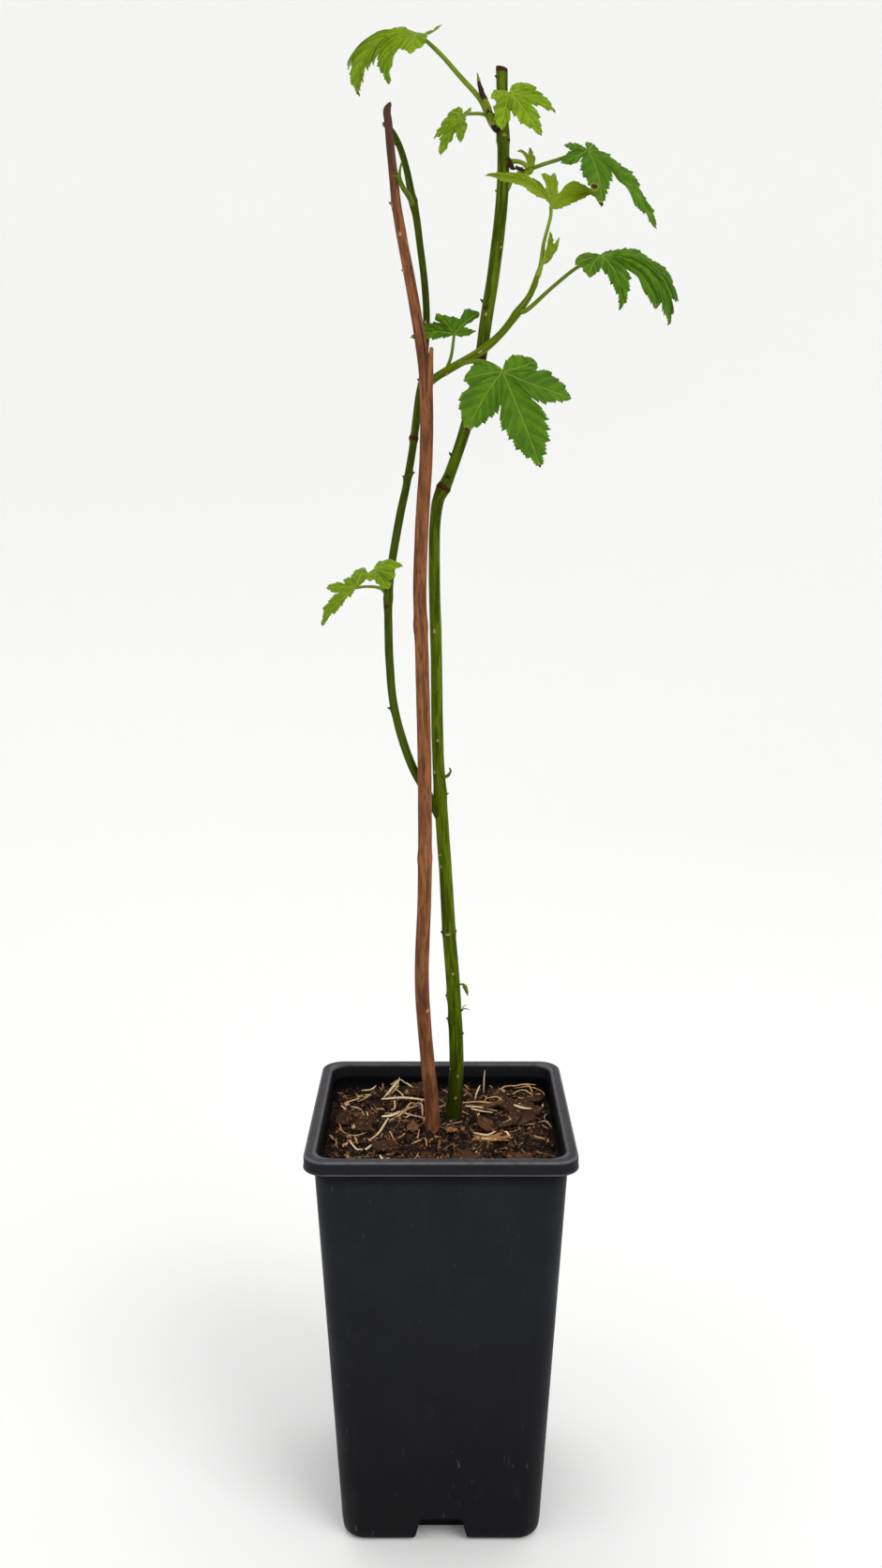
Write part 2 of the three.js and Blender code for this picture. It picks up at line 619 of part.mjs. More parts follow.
spray("upper_spray", [
  stalk([[34, 0, 749, 1.8], [36.7, 1.5, 753, 1.3], [39.1, 3, 756, 1.2], [51.6, 7, 762, 1.1],
    [61.7, 11, 766, 1], [71, 13, 769.5, 0.9]], LEAF.upper),
  blade(LEAF.upper),
], [roundTrunk], 0x477a1c);

spray("bud_spray", [
  stalk([[32, 0, 763, 1.2], [36, -1, 763, 1.2], [40, -3, 761, 1]], LEAF.claw),
  blade(LEAF.claw),
], [roundTrunk], 0x7f9a28);

const rightStalk = [
  [41, -8, 686, 1.2], [44.1, -9.8, 686, 1.2], [58.2, -16.5, 697, 1], [70.1, -22, 705.5, 0.9],
];
spray("right_spray", [stalk(rightStalk, LEAF.right), blade(LEAF.right)], [roundBranch], 0x477a1c);

spray("tip_spray", [
  stalk([[50.6, -8, 703.5, 1.4], [52.3, -7.6, 709, 1.3], [53.7, -7.4, 720, 1], [57.2, -8, 734, 0.9]],
    LEAF.young),
  limb([[51.8, -7.8, 707, 1], [...LEAF.bract.base, 0.9], [53.4, -7, 712, 0.4]], 0, 6),
  blade(LEAF.young),
  blade(LEAF.bract),
], [roundBranch], 0x86a814);

spray("broad_leaf", [
  stalk([[8, -4.4, 659.4, 1.2], [11, -8, 659.6, 1.2], [16, -13.5, 659.8, 1], [20.4, -18, 659.6, 1],
    [27, -22.5, 657, 0.9]], LEAF.broad),
  blade(LEAF.broad),
], [roundBranch], 0x3f7416);

spray("low_leaf", [
  stalk([[0.6, -1.2, 655.4, 1.2], [2.6, 0.5, 657.5, 1], [5.3, 2.2, 664, 0.9], [6.6, 2.9, 672, 0.8]],
    LEAF.low),
  blade(LEAF.low),
], [roundBranch], 0x477a1c);

spray("left_spray", [
  stalk([[-29, 0, 536.5, 1.2], [-31.3, 2, 540, 1.1], [-35.5, 5, 541.8, 0.9], [-42.7, 9, 542, 0.8]],
    LEAF.long),
  stalk([[-31.5, 1.6, 539.6, 0.9], [-32.6, -3, 542.5, 0.9], [-34.4, -7.5, 548, 0.8]], LEAF.wide),
  blade(LEAF.long),
  blade(LEAF.wide),
], [roundShoot], 0x7f9f24);

spray("left_bud", [
  stalk([[-14.6, 3.3, 742, 1.4], [-15.8, -1, 744, 1.2], [-18.2, -8, 745.5, 0.9]], LEAF.fold),
  blade(LEAF.fold),
], [roundShoot], 0x6f8a24);

export default plant;
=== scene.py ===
"""The looks of a potted sweet leaf bramble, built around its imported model.

Shapes are worked out in millimetres in the model's own frame (+Z up, -Y the front) and
become metres when a mesh is made. Angles round a stem are 0 at its front and 90 at +X.
"""

import functools
import json
import math
import random

import bmesh
import bpy
import numpy as np
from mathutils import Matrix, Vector, noise

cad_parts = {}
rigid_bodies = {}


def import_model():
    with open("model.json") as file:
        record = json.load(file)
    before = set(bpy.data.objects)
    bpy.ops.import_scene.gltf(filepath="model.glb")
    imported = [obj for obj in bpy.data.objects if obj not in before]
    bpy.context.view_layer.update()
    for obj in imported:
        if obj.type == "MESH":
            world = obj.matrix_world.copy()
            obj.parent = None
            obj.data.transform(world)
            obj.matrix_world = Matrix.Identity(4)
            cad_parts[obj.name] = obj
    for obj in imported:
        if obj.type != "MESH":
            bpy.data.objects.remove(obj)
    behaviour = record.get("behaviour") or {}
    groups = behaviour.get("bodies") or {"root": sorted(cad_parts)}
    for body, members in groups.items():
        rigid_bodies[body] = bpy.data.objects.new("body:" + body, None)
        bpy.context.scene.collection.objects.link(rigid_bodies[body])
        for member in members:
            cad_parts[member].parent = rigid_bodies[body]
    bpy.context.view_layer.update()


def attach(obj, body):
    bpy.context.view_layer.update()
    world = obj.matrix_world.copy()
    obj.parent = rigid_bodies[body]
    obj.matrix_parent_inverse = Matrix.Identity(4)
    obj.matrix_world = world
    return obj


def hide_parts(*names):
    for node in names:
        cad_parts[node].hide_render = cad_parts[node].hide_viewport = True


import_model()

MM = 0.001
BODY = "root"
FRONT = np.array([0.0, -1.0, 0.0])

# The pot, as in the model.
POT_HEIGHT = 240
RIM_WIDTH = 150
RIM_DEPTH = 8
BODY_TOP = 140
BODY_FOOT = 114
WALL = 1.8
FLOOR = 2.5
CORNER = 13
FOOT_ROUND = 4.5
BEAD_ROUND = 0.6
LIP_ROUND = 1.6
NOTCH_LOW = 29
NOTCH_HIGH = 22
NOTCH_TALL = 15
NOTCH_DEEP = 13.5
DRAIN_RADIUS = 4.5
DRAIN_AT = 30
GAP = 0.33
SOIL_TOP = 228


# Small helpers for meshes.

def ring_faces(rows, count):
    """The faces between rings of points, from the first ring to the last."""
    return [[low + k, low + (k + 1) % count, low + count + (k + 1) % count, low + count + k]
            for low in range(0, (rows - 1) * count, count) for k in range(count)]


def lidded_faces(rows, count):
    """The faces of a closed solid through rings, whose ends close on one more point each: foot, then top."""
    foot, last = rows * count, (rows - 1) * count
    feet = [[foot, (k + 1) % count, k] for k in range(count)]
    tops = [[foot + 1, last + k, last + (k + 1) % count] for k in range(count)]
    return ring_faces(rows, count) + feet + tops


def merged(shapes):
    """Joins shapes, each a dict of points, faces and marks on the points, into one."""
    points, faces, marks = [], [], {}
    start = 0
    for shape in shapes:
        points.append(shape["points"])
        faces += [[k + start for k in face] for face in shape["faces"]]
        for key, values in shape["marks"].items():
            marks.setdefault(key, []).append(values)
        start += len(shape["points"])
    return {"points": np.vstack(points), "faces": faces,
            "marks": {key: np.concatenate(rows) for key, rows in marks.items()}}


def put(name, data):
    """A new object of the given data, in the scene."""
    thing = bpy.data.objects.new(name, data)
    bpy.context.scene.collection.objects.link(thing)
    return thing


def bare_mesh(name, shape, materials=(), crease=40):
    """A mesh object in metres, smooth but for edges sharper than the crease."""
    mesh = bpy.data.meshes.new(name)
    mesh.from_pydata((np.array(shape["points"], float) * MM).tolist(), [], shape["faces"])
    for material in materials:
        mesh.materials.append(material)
    if "picks" in shape:
        mesh.polygons.foreach_set("material_index", shape["picks"])
    for key, values in shape.get("marks", {}).items():
        several = values.ndim == 2
        layer = mesh.attributes.new(key, "FLOAT_VECTOR" if several else "FLOAT", "POINT")
        layer.data.foreach_set("vector" if several else "value", values.astype(np.float32).ravel())
    mesh.update()
    mesh.shade_smooth()
    mesh.set_sharp_from_angle(angle=math.radians(crease))
    return put(name, mesh)


def finished(piece, slot, *nodes):
    """Lets a piece ride on the plant's one body and stand for the nodes it replaces."""
    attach(piece, BODY)
    if nodes:
        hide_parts(*nodes)


# Helpers for materials.

def linear(colour):
    """An sRGB hex value as linear RGBA."""
    parts = [int(colour[i:i + 2], 16) / 255 for i in (1, 3, 5)]
    return [c / 12.92 if c <= 0.04045 else ((c + 0.055) / 1.055) ** 2.4 for c in parts] + [1.0]


# What the nodes used here are: Blender's name, the usual settings, the inputs that take the
# values in turn, and the output that is handed on, or None for all of them.
NODES = {
    "place": ("ShaderNodeTexCoord", {}, (), "Object"),
    "mark": ("ShaderNodeAttribute", {}, (), "Fac"),
    "marks": ("ShaderNodeAttribute", {}, (), "Vector"),
    "split": ("ShaderNodeSeparateXYZ", {}, (0,), None),
    "join": ("ShaderNodeCombineXYZ", {}, (0, 1, 2), 0),
    "stretch": ("ShaderNodeMapping", {}, ("Vector", "Scale"), 0),
    "length": ("ShaderNodeVectorMath", {"operation": "LENGTH"}, (0,), "Value"),
    "noise": ("ShaderNodeTexNoise", {}, ("Vector", "Scale", "Detail", "Roughness"), "Fac"),
    "cells": ("ShaderNodeTexVoronoi", {}, ("Vector", "Scale"), None),
    "ease": ("ShaderNodeMapRange", {"interpolation_type": "SMOOTHSTEP"},
             ("Value", "From Min", "From Max", "To Min", "To Max"), 0),
    "mix": ("ShaderNodeMix", {"data_type": "RGBA"}, (0, 6, 7), 2),
    "bump": ("ShaderNodeBump", {}, ("Height", "Distance", "Strength"), 0),
    "shader": ("ShaderNodeBsdfPrincipled", {}, (), 0),
    "surface": ("ShaderNodeOutputMaterial", {}, ("Surface",), None),
    "given": ("NodeGroupInput", {}, (), None),
    "result": ("NodeGroupOutput", {}, (0,), None),
    "stored": ("GeometryNodeInputNamedAttribute", {"data_type": "FLOAT"}, ("Name",), "Attribute"),
    "chance": ("FunctionNodeRandomValue", {"data_type": "FLOAT"}, (2, 3, "Seed"), 1),
    "chances": ("FunctionNodeRandomValue", {"data_type": "FLOAT_VECTOR"}, (0, 1, "Seed"), 0),
}
for sum_name in ("ADD", "SUBTRACT", "MULTIPLY", "MULTIPLY_ADD", "MAXIMUM", "ABSOLUTE", "PINGPONG"):
    NODES[sum_name.lower()] = ("ShaderNodeMath", {"operation": sum_name}, (0, 1, 2), 0)


def add(tree, kind, *values, **settings):
    """Adds a node with its settings and its links, and gives what it hands on.

    Each value is a number, a hex colour or another node's output. They go to the inputs that
    NODES names, in turn, or one dict of them names the inputs itself.
    """
    name, usual, inputs, output = NODES.get(kind, (kind, {}, (), 0))
    node = tree.nodes.new(name)
    for key, value in {**usual, **settings}.items():
        setattr(node, key, value)
    links = values[0] if values and isinstance(values[0], dict) else dict(zip(inputs, values))
    for key, value in links.items():
        if isinstance(value, bpy.types.NodeSocket):
            tree.links.new(value, node.inputs[key])
        else:
            node.inputs[key].default_value = linear(value) if str(value).startswith("#") else value
    return node.outputs if output is None else node.outputs[output]


def new_material(name):
    """An empty material, and add() for its own tree."""
    material = bpy.data.materials.new(name)
    material.use_nodes = True
    material.node_tree.nodes.clear()
    return material, functools.partial(add, material.node_tree)


def layered(node, colour, *layers):
    """Lays tones over a colour, each (value, low, high, share, tone): none at low, its share at high."""
    for value, low, high, share, tone in layers:
        colour = node("mix", node("ease", value, low, high, 0, share), colour, tone)
    return colour


def within(node, *spans):
    """The product of eased values, each (value, low, high) with its own least and most, or 0 and 1."""
    shares = [node("ease", *span) for span in spans]
    return functools.reduce(functools.partial(node, "multiply"), shares)


def coated(material, node, colour, roughness, relief, ior, gloss, **sockets):
    """Joins the colour, roughness and relief (height, depth in metres, strength) to one shader."""
    links = {"Base Color": colour, "Roughness": roughness, "Normal": node("bump", *relief),
             "IOR": ior, "Specular IOR Level": gloss}
    node("surface", node("shader", {**links, **sockets}))
    return material


# Materials. Object coordinates are in metres, and a stem's own coordinates in millimetres;
# each noise's scale is one over the size of its lumps.

def moulded_polypropylene():
    """Black recycled polypropylene, injection moulded: satin and faintly mottled, with painted shade low
    down and under the band, and painted top light and painted highlights on the rim.
    """
    material, node = new_material("moulded_polypropylene")
    place = node("place")
    x, y, z = node("split", place)
    mottle = node("noise", place, 1 / 0.028, 4, 0.55)
    flow = node("noise", node("stretch", place, (1, 1, 0.25)), 1 / 0.006, 5, 0.55)
    # Painted shade: the body darkens towards the foot, below 0.2 m, as less light reaches it.
    body = layered(node, "#0f0f12", (z, 0.01, 0.2, 1, "#1b1c21"), (mottle, 0.35, 0.7, 0.3, "#0c0c0f"),
                   (flow, 0.62, 0.8, 0.3, "#2b2d34"))
    # How far out a point lies is its distance from the middle of the rounded square.
    top, band, rim = POT_HEIGHT * MM, (POT_HEIGHT - RIM_DEPTH) * MM, RIM_WIDTH / 2 * MM
    corner = rim - CORNER * MM
    beyond = [node("maximum", node("subtract", node("absolute", side), corner), 0) for side in (x, y)]
    out = node("add", node("length", node("join", *beyond)), corner)
    # The wall just under the rim band is darkened almost to #020203, a painted shadow cast by the band.
    painted_shadow = within(node, (z, band - 0.0095, band - 0.0025, 0, 0.9), (out, rim - 0.003, rim - 0.0035),
                   (z, band + 0.0004, band - 0.0001))
    body = node("mix", painted_shadow, body, "#020203")
    # Painted top light: the rim's upward faces turn a lighter grey, in patches.
    top_light_patches = node("noise", place, 1 / 0.004, 4, 0.55)
    painted_top_light = within(node, (z, top - 0.0022, top - 0.0004), (top_light_patches, 0.3, 0.65, 0.55, 1))
    body = node("mix", painted_top_light, body, "#3b393d")
    # The rim's two rounded edges and the bead at the band's foot take a pale painted highlight, broken up
    # along the flow lines.
    outer = within(node, (z, top - 0.0012, top - 0.0006), (out, rim - 0.0019, rim - 0.0012))
    inner = within(node, (z, top - 0.0014, top - 0.0007, 0, 0.7), (out, rim - 0.0049, rim - 0.0055))
    bead = within(node, (z, band + 0.0015, band + 0.001, 0, 0.45), (z, band - 0.0002, band + 0.0002),
                  (out, rim - 0.0006, rim - 0.0002))
    edges = node("maximum", inner, node("maximum", outer, bead))
    painted_highlight = node("multiply", edges, node("ease", flow, 0.3, 0.6, 0.5, 1))
    body = node("mix", painted_highlight, body, "#626064")
    # Scratches are thin pale lines, longer than wide, and specks are where the pot was set down.
    scratch = node("noise", node("stretch", place, (1, 1, 0.12)), 1 / 0.0011, 2, 0.55)
    patches = node("noise", place, 1 / 0.02, 2, 0.55)
    scuffed = within(node, (scratch, 0.68, 0.74), (patches, 0.46, 0.62), (z, 0.1, 0, 0.3, 1.6))
    dots = node("cells", place, 1 / 0.007)
    speck = within(node, (dots["Distance"], 0.05, 0.03), (node("split", dots["Color"])[0], 0.9, 0.93))
    body = node("mix", node("multiply", node("maximum", scuffed, speck), 0.5), body, "#6a6c70")
    satin = node("ease", mottle, 0.25, 0.75, 0.42, 0.52)
    grain = node("noise", place, 1 / 0.0012, 3, 0.55)
    return coated(material, node, body, satin, (grain, 0.00004, 0.6), 1.49, 0.08)


def peat_compost():
    """Milled peat with composted bark: dark, matt, crumbly and a little damp."""
    material, node = new_material("peat_compost")
    place = node("place")
    clods = node("noise", place, 1 / 0.006, 4, 0.55)
    crumbs = node("noise", place, 1 / 0.0014, 4, 0.65)
    colour = layered(node, "#030201", (clods, 0.38, 0.62, 1, "#150c07"), (crumbs, 0.5, 0.7, 0.9, "#6e4a33"))
    matt = node("ease", clods, 0.3, 0.7, 0.75, 0.98)
    return coated(material, node, colour, matt, (crumbs, 0.0012, 0.9), 1.4, 0.25)


def toned(name, dark, middle, pale, size, depth, long=6):
    """Woody litter: each bit in its own tone, under fine dark grain drawn out one way and pale blotches."""
    material, node = new_material(name)
    place = node("place")
    tone = node("mark", attribute_name="tone")
    fibre = node("noise", node("stretch", place, (long, 1, 1)), 1 / size, 4, 0.6)
    blotch = node("noise", place, 1 / (3 * size), 4, 0.65)
    colour = layered(node, dark, (tone, 0, 0.55, 1, middle), (tone, 0.5, 1, 1, pale),
                     (fibre, 0.47, 0.62, 0.8, dark), (blotch, 0.44, 0.3, 0.5, pale))
    matt = node("ease", fibre, 0.3, 0.7, 0.65, 0.9)
    return coated(material, node, colour, matt, (fibre, depth, 0.8), 1.45, 0.1)


def green_rind(name, foot, crown, shade, stripe):
    """Live bramble bark: smooth green skin, streaked lengthwise, with corky scars and a dry brown ring."""
    material, node = new_material(name)
    rind = node("marks", attribute_name="rind")
    height = node("split", node("place"))[2]
    # Streaks are about 1 mm wide and 15 to 25 mm long.
    streak = node("noise", node("stretch", rind, (1, 1, 0.06)), 1 / 1.1, 3, 0.55)
    broad = node("noise", node("stretch", rind, (1, 1, 0.1)), 1 / 3.2, 2, 0.55)
    mottle = node("noise", rind, 1 / 0.9, 4, 0.7)
    cork = node("noise", rind, 1 / 0.7, 3, 0.55)
    pore = node("cells", node("stretch", rind, (1, 1, 0.5)), 0.42)["Distance"]
    scar = node("add", node("mark", attribute_name="scar"), node("multiply_add", cork, 0.5, -0.25))
    dried = node("add", node("mark", attribute_name="dry"), node("multiply_add", cork, 0.7, -0.35))
    # The near-black layer by height is painted shade: it darkens any stem below about 285 mm, most of all
    # from 240 mm down, by the rim and the compost.
    skin = layered(node, foot, (height, 0.3, 0.7, 1, crown), (broad, 0.4, 0.6, 0.72, shade),
                   (mottle, 0.45, 0.7, 0.55, shade), (streak, 0.5, 0.72, 0.45, stripe),
                   (pore, 0.13, 0.05, 0.42, "#7d8a3c"), (height, 0.285, 0.24, 0.8, "#1a2002"),
                   (scar, 0.22, 0.42, 0.6, "#4a3611"), (scar, 0.45, 0.75, 1, "#948b52"),
                   (dried, 0.38, 0.62, 1, "#402514"))
    corky = node("ease", node("maximum", scar, dried), 0.3, 0.6, 0, 0.35)
    satin = node("add", node("ease", streak, 0.3, 0.7, 0.5, 0.62), corky)
    fine = node("add", node("multiply", streak, 0.5), node("multiply", cork, scar))
    return coated(material, node, skin, satin, (fine, 0.0004, 0.8), 1.45, 0.04)


def dry_rind():
    """Dead bramble bark: matt reddish brown, cracked and striped lengthwise, darker to the tip."""
    material, node = new_material("dry_rind")
    rind = node("marks", attribute_name="rind")
    height = node("split", node("place"))[2]
    streak = node("noise", node("stretch", rind, (1, 1, 0.07)), 1 / 0.8, 4, 0.6)
    broad = node("noise", node("stretch", rind, (1, 1, 0.12)), 1 / 3.0, 2, 0.55)
    mottle = node("noise", node("stretch", rind, (1, 1, 0.2)), 1 / 1.4, 4, 0.7)
    scar, groove = (node("mark", attribute_name=name) for name in ("scar", "dry"))
    bark = layered(node, "#5f3318", (broad, 0.35, 0.65, 1, "#8a5530"), (streak, 0.52, 0.72, 0.6, "#a06c40"),
                   (mottle, 0.48, 0.68, 0.7, "#3f2213"), (streak, 0.46, 0.3, 0.8, "#3a1f11"),
                   (height, 0.72, 0.785, 0.8, "#3b261c"), (scar, 0.3, 0.7, 0.8, "#c08d62"),
                   (groove, 0.2, 0.7, 0.85, "#2c1712"))
    matt = node("ease", streak, 0.3, 0.7, 0.7, 0.9)
    return coated(material, node, bark, matt, (streak, 0.0005, 0.8), 1.45, 0.3)


def cut_wood():
    """The cut end of a cane: matt, dry, speckled tan wood."""
    material, node = new_material("cut_wood")
    speck = node("noise", node("place"), 1 / 0.0006, 3, 0.55)
    colour = layered(node, "#5a3d28", (speck, 0.35, 0.65, 1, "#8a6a48"))
    return coated(material, node, colour, 0.85, (speck, 0.0003, 0.6), 1.45, 0.5)


def leaf_tissue(name, tissue, deep, bright, rib, under):
    """Bramble leaf: waxy upper side with pale ribs and a fine net between them, duller pale underside."""
    material, node = new_material(name)
    place = node("place")
    across, order, spacing = node("split", node("marks", attribute_name="vein"))
    between = node("pingpong", order, 0.5)
    beside = node("multiply", between, spacing)
    branches = within(node, (beside, 0.26, 0.05), (across, 9, 1, 0.05, 0.34))
    ribs = node("maximum", node("ease", across, 0.42, 0.12, 0, 0.9), branches)
    net = node("cells", place, 1 / 0.0013, feature="DISTANCE_TO_EDGE")["Distance"]
    blotch = node("noise", place, 1 / 0.009, 3, 0.55)
    fleck = node("noise", place, 1 / 0.0008, 4, 0.7)
    # Besides random blotches and flecks, the raised folds between side ribs are painted brighter, a painted
    # highlight, and a band along each side rib is painted darker, painted shade in its groove.
    colour = layered(node, tissue, (blotch, 0.35, 0.65, 1, bright), (between, 0.15, 0.5, 0.4, bright),
                     (fleck, 0.45, 0.68, 0.5, deep), (net, 0.16, 0.02, 0.14, deep),
                     (beside, 1.4, 0.2, 0.55, deep))
    colour = node("mix", ribs, colour, rib)
    below = node("mix", node("multiply", ribs, 0.8), under, rib)
    underside = node("mark", attribute_name="under")
    colour = node("mix", underside, colour, below)
    # Scorched patches are brown with a yellow edge, ragged at about 2 mm.
    ragged = node("multiply_add", node("noise", place, 1 / 0.0022, 3, 0.55), 0.6, -0.3)
    scorch = node("add", node("mark", attribute_name="scorch"), ragged)
    colour = layered(node, colour, (scorch, 0.12, 0.4, 0.7, "#8a8a1c"), (scorch, 0.42, 0.62, 1, "#35200f"))
    waxy = node("add", node("ease", blotch, 0.3, 0.7, 0.46, 0.56), node("multiply", underside, 0.25))
    sunk = node("add", ribs, node("ease", beside, 1.4, 0.2, 0, 0.55))
    height = node("subtract", node("ease", net, 0.16, 0.02, 0, -0.3), sunk)
    return coated(material, node, colour, waxy, (height, 0.0003, 0.7), 1.42, 0.12, **{
        "Subsurface Weight": 0.1, "Subsurface Radius": (0.6, 1.0, 0.2), "Subsurface Scale": 0.0006})


def bud_scales():
    """Winter bud scales: papery dark brown over green, greener to the tip."""
    material, node = new_material("bud_scales")
    rind = node("marks", attribute_name="rind")
    streak = node("noise", node("stretch", rind, (1, 1, 0.2)), 1 / 1.1, 3, 0.55)
    green = node("add", node("mark", attribute_name="scar"), node("subtract", streak, 0.5))
    colour = layered(node, "#2f1c10", (green, 0.35, 0.65, 1, "#717c12"))
    papery = node("ease", streak, 0.3, 0.7, 0.5, 0.7)
    return coated(material, node, colour, papery, (streak, 0.0003, 0.6), 1.42, 0.15)


def petiole_skin(name, colour, flush):
    """A leaf stalk's soft green skin, flushed where the sun reaches it."""
    material, node = new_material(name)
    rind = node("marks", attribute_name="rind")
    streak = node("noise", node("stretch", rind, (1, 1, 0.1)), 1 / 0.9, 3, 0.55)
    scar = node("mark", attribute_name="scar")
    skin = layered(node, colour, (streak, 0.35, 0.7, 1, flush), (scar, 0.3, 0.7, 1, "#6b4b28"))
    soft = node("ease", streak, 0.3, 0.7, 0.45, 0.58)
    return coated(material, node, skin, soft, (streak, 0.0002, 0.5), 1.42, 0.15)


# Stems.

def bent(stations, spacing):
    """Centres, directions, radii and distances along a smooth path through [x, y, z, radius] stations.

    It is the centripetal curve that the model's limbs follow.
    """
    stations = np.array(stations, float)
    spots = stations[:, :3]
    ends = [2 * spots[0] - spots[1], *spots, 2 * spots[-1] - spots[-2]]
    centres, radii = [], []
    for i in range(len(spots) - 1):
        p0, p1, p2, p3 = ends[i:i + 4]
        d0, d1, d2 = (math.sqrt(np.linalg.norm(b - a)) for a, b in ((p0, p1), (p1, p2), (p2, p3)))
        leave = ((p1 - p0) / d0 - (p2 - p0) / (d0 + d1) + (p2 - p1) / d1) * d1
        arrive = ((p2 - p1) / d1 - (p3 - p1) / (d1 + d2) + (p3 - p2) / d2) * d1
        steps = max(2, round(np.linalg.norm(p2 - p1) / spacing))
        for t in np.arange(0 if i == 0 else 1, steps + 1) / steps:
            ease = t * t * (3 - 2 * t)
            centres.append((1 - ease) * p1 + (t ** 3 - 2 * t ** 2 + t) * leave
                           + ease * p2 + (t ** 3 - t ** 2) * arrive)
            radii.append(stations[i, 3] * (1 - ease) + stations[i + 1, 3] * ease)
    centres = np.array(centres)
    along = np.gradient(centres, axis=0)
    along /= np.linalg.norm(along, axis=1)[:, None]
    reach = np.concatenate([[0], np.cumsum(np.linalg.norm(np.diff(centres, axis=0), axis=1))])
    return centres, along, np.array(radii), reach


def framed(stations, spacing):
    """The path of bent() with a front and a right, square to it, at each step."""
    centres, along, radii, reach = bent(stations, spacing)
    front = FRONT - along[0] * along[0].dot(FRONT)
    fronts = []
    for direction in along:
        front = front - direction * direction.dot(front)
        front /= np.linalg.norm(front)
        fronts.append(front)
    fronts = np.array(fronts)
    return centres, along, radii, reach, fronts, np.cross(along, fronts)


# In millimetres: over what length ridges drift, how long the lumps on them are, the radius under
# which relief shrinks, how far down a slanting cut reaches, and the shift from one stem's grain
# to the next's.
DRIFT = 60
LUMP = 14
THIN = 1.5
CUT_BAND = 5
APART = 37
# How deep a thorn's root sits in the bark, and how much wider its foot is than its shaft.
ROOTED = 0.7
FLARE = 1.15


def tube(stations, sides=24, spacing=1.0, marks=(), ridges=(0, 0), blunt=0.0, slant=0.0, seed=0):
    """A closed stem with the bark's relief.

    Each mark is (kind, distance along, angle or None for all round, half length, half width, height).
    ridges is how many run lengthwise and how high they are; blunt rounds the far end off and
    slant is how much higher its left edge is cut than its right.
    """
    centres, along, radii, reach, fronts, rights = framed(stations, spacing)
    if blunt:
        left_over = np.clip((reach[-1] - reach) / blunt, 0, 1)
        radii = radii * np.sqrt(np.maximum(1 - (1 - left_over) ** 2, 0.01))
    turns = 2 * math.pi * np.arange(sides) / sides
    cos, sin = np.cos(turns)[None, :], np.sin(turns)[None, :]
    rise = np.zeros((len(reach), sides))
    kinds = {"scar": np.zeros_like(rise), "dry": np.zeros_like(rise)}
    for kind, at, angle, length, width, height in marks:
        apart = ((reach - at) / length)[:, None] ** 2
        if angle is not None:
            turn = (turns - math.radians(angle) + math.pi) % (2 * math.pi) - math.pi
            apart = apart + (turn[None, :] * radii[:, None] / width) ** 2
        near = np.exp(-apart) * np.ones_like(rise)
        rise += height * near
        if kind in kinds:
            kinds[kind] = np.maximum(kinds[kind], near)
    many, high = ridges
    if many:
        # The ridges drift slowly round the stem, and lumps lie over them.
        drift = np.array([noise.noise(Vector((s / DRIFT, seed, 0.5))) for s in reach])
        rise += high * np.cos(many * turns[None, :] + 2.5 * drift[:, None])
        lumps = [[noise.noise(Vector((3 * c, 3 * s, r / LUMP + seed * 7))) for c, s in zip(cos[0], sin[0])]
                 for r in reach]
        rise += high * 1.3 * np.array(lumps)
    width = radii[:, None] + rise * np.minimum(1, radii[:, None] / THIN)
    points = (centres[:, None] + fronts[:, None] * (width * cos)[..., None]
              + rights[:, None] * (width * sin)[..., None]).reshape(-1, 3)
    if slant:
        cut = np.clip(1 - (reach[-1] - reach) / CUT_BAND, 0, 1)[:, None] * slant / 2 * -sin
        points += (along[:, None] * cut[..., None]).reshape(-1, 3)
    # The bark's own coordinates run across and along the stem.
    start = APART * seed
    rind = np.stack([radii[:, None] * cos, radii[:, None] * sin,
                     reach[:, None] * np.ones((1, sides)) + start], -1).reshape(-1, 3)
    spread = {key: np.concatenate([grid.ravel(), [0, 0]]) for key, grid in kinds.items()}
    return {"points": np.vstack([points, centres[0], centres[-1]]),
            "faces": lidded_faces(len(reach), sides), "caps": sides,
            "marks": {"rind": np.vstack([rind, [0, 0, start], [0, 0, reach[-1] + start]]), **spread}}


def prickle(stations, at, angle, long, thick, seed=0):
    """A small thorn or bud that stands out of a stem and turns up a little."""
    centres, along, radii, reach, fronts, rights = framed(stations, 1.0)
    k = int(np.searchsorted(reach, at))
    out = fronts[k] * math.cos(math.radians(angle)) + rights[k] * math.sin(math.radians(angle))
    root = centres[k] + out * (radii[k] - ROOTED)
    # Outward, upward and thickness, as shares of the length and of the thickness.
    shape = [(0, 0, 1.0), (0.4, 0.1, 0.85), (0.8, 0.32, 0.5), (1.05, 0.6, 0.12)]
    path = [[*(root + out * (o * long + 0.5) + along[k] * a * long), thick * r] for o, a, r in shape]
    ring = [("dry", 0.6, None, 0.6, 1, 0.1)]
    return tube([[*root, thick * FLARE], *path], 12, 0.35, ring, (3, 0.06), seed=seed)


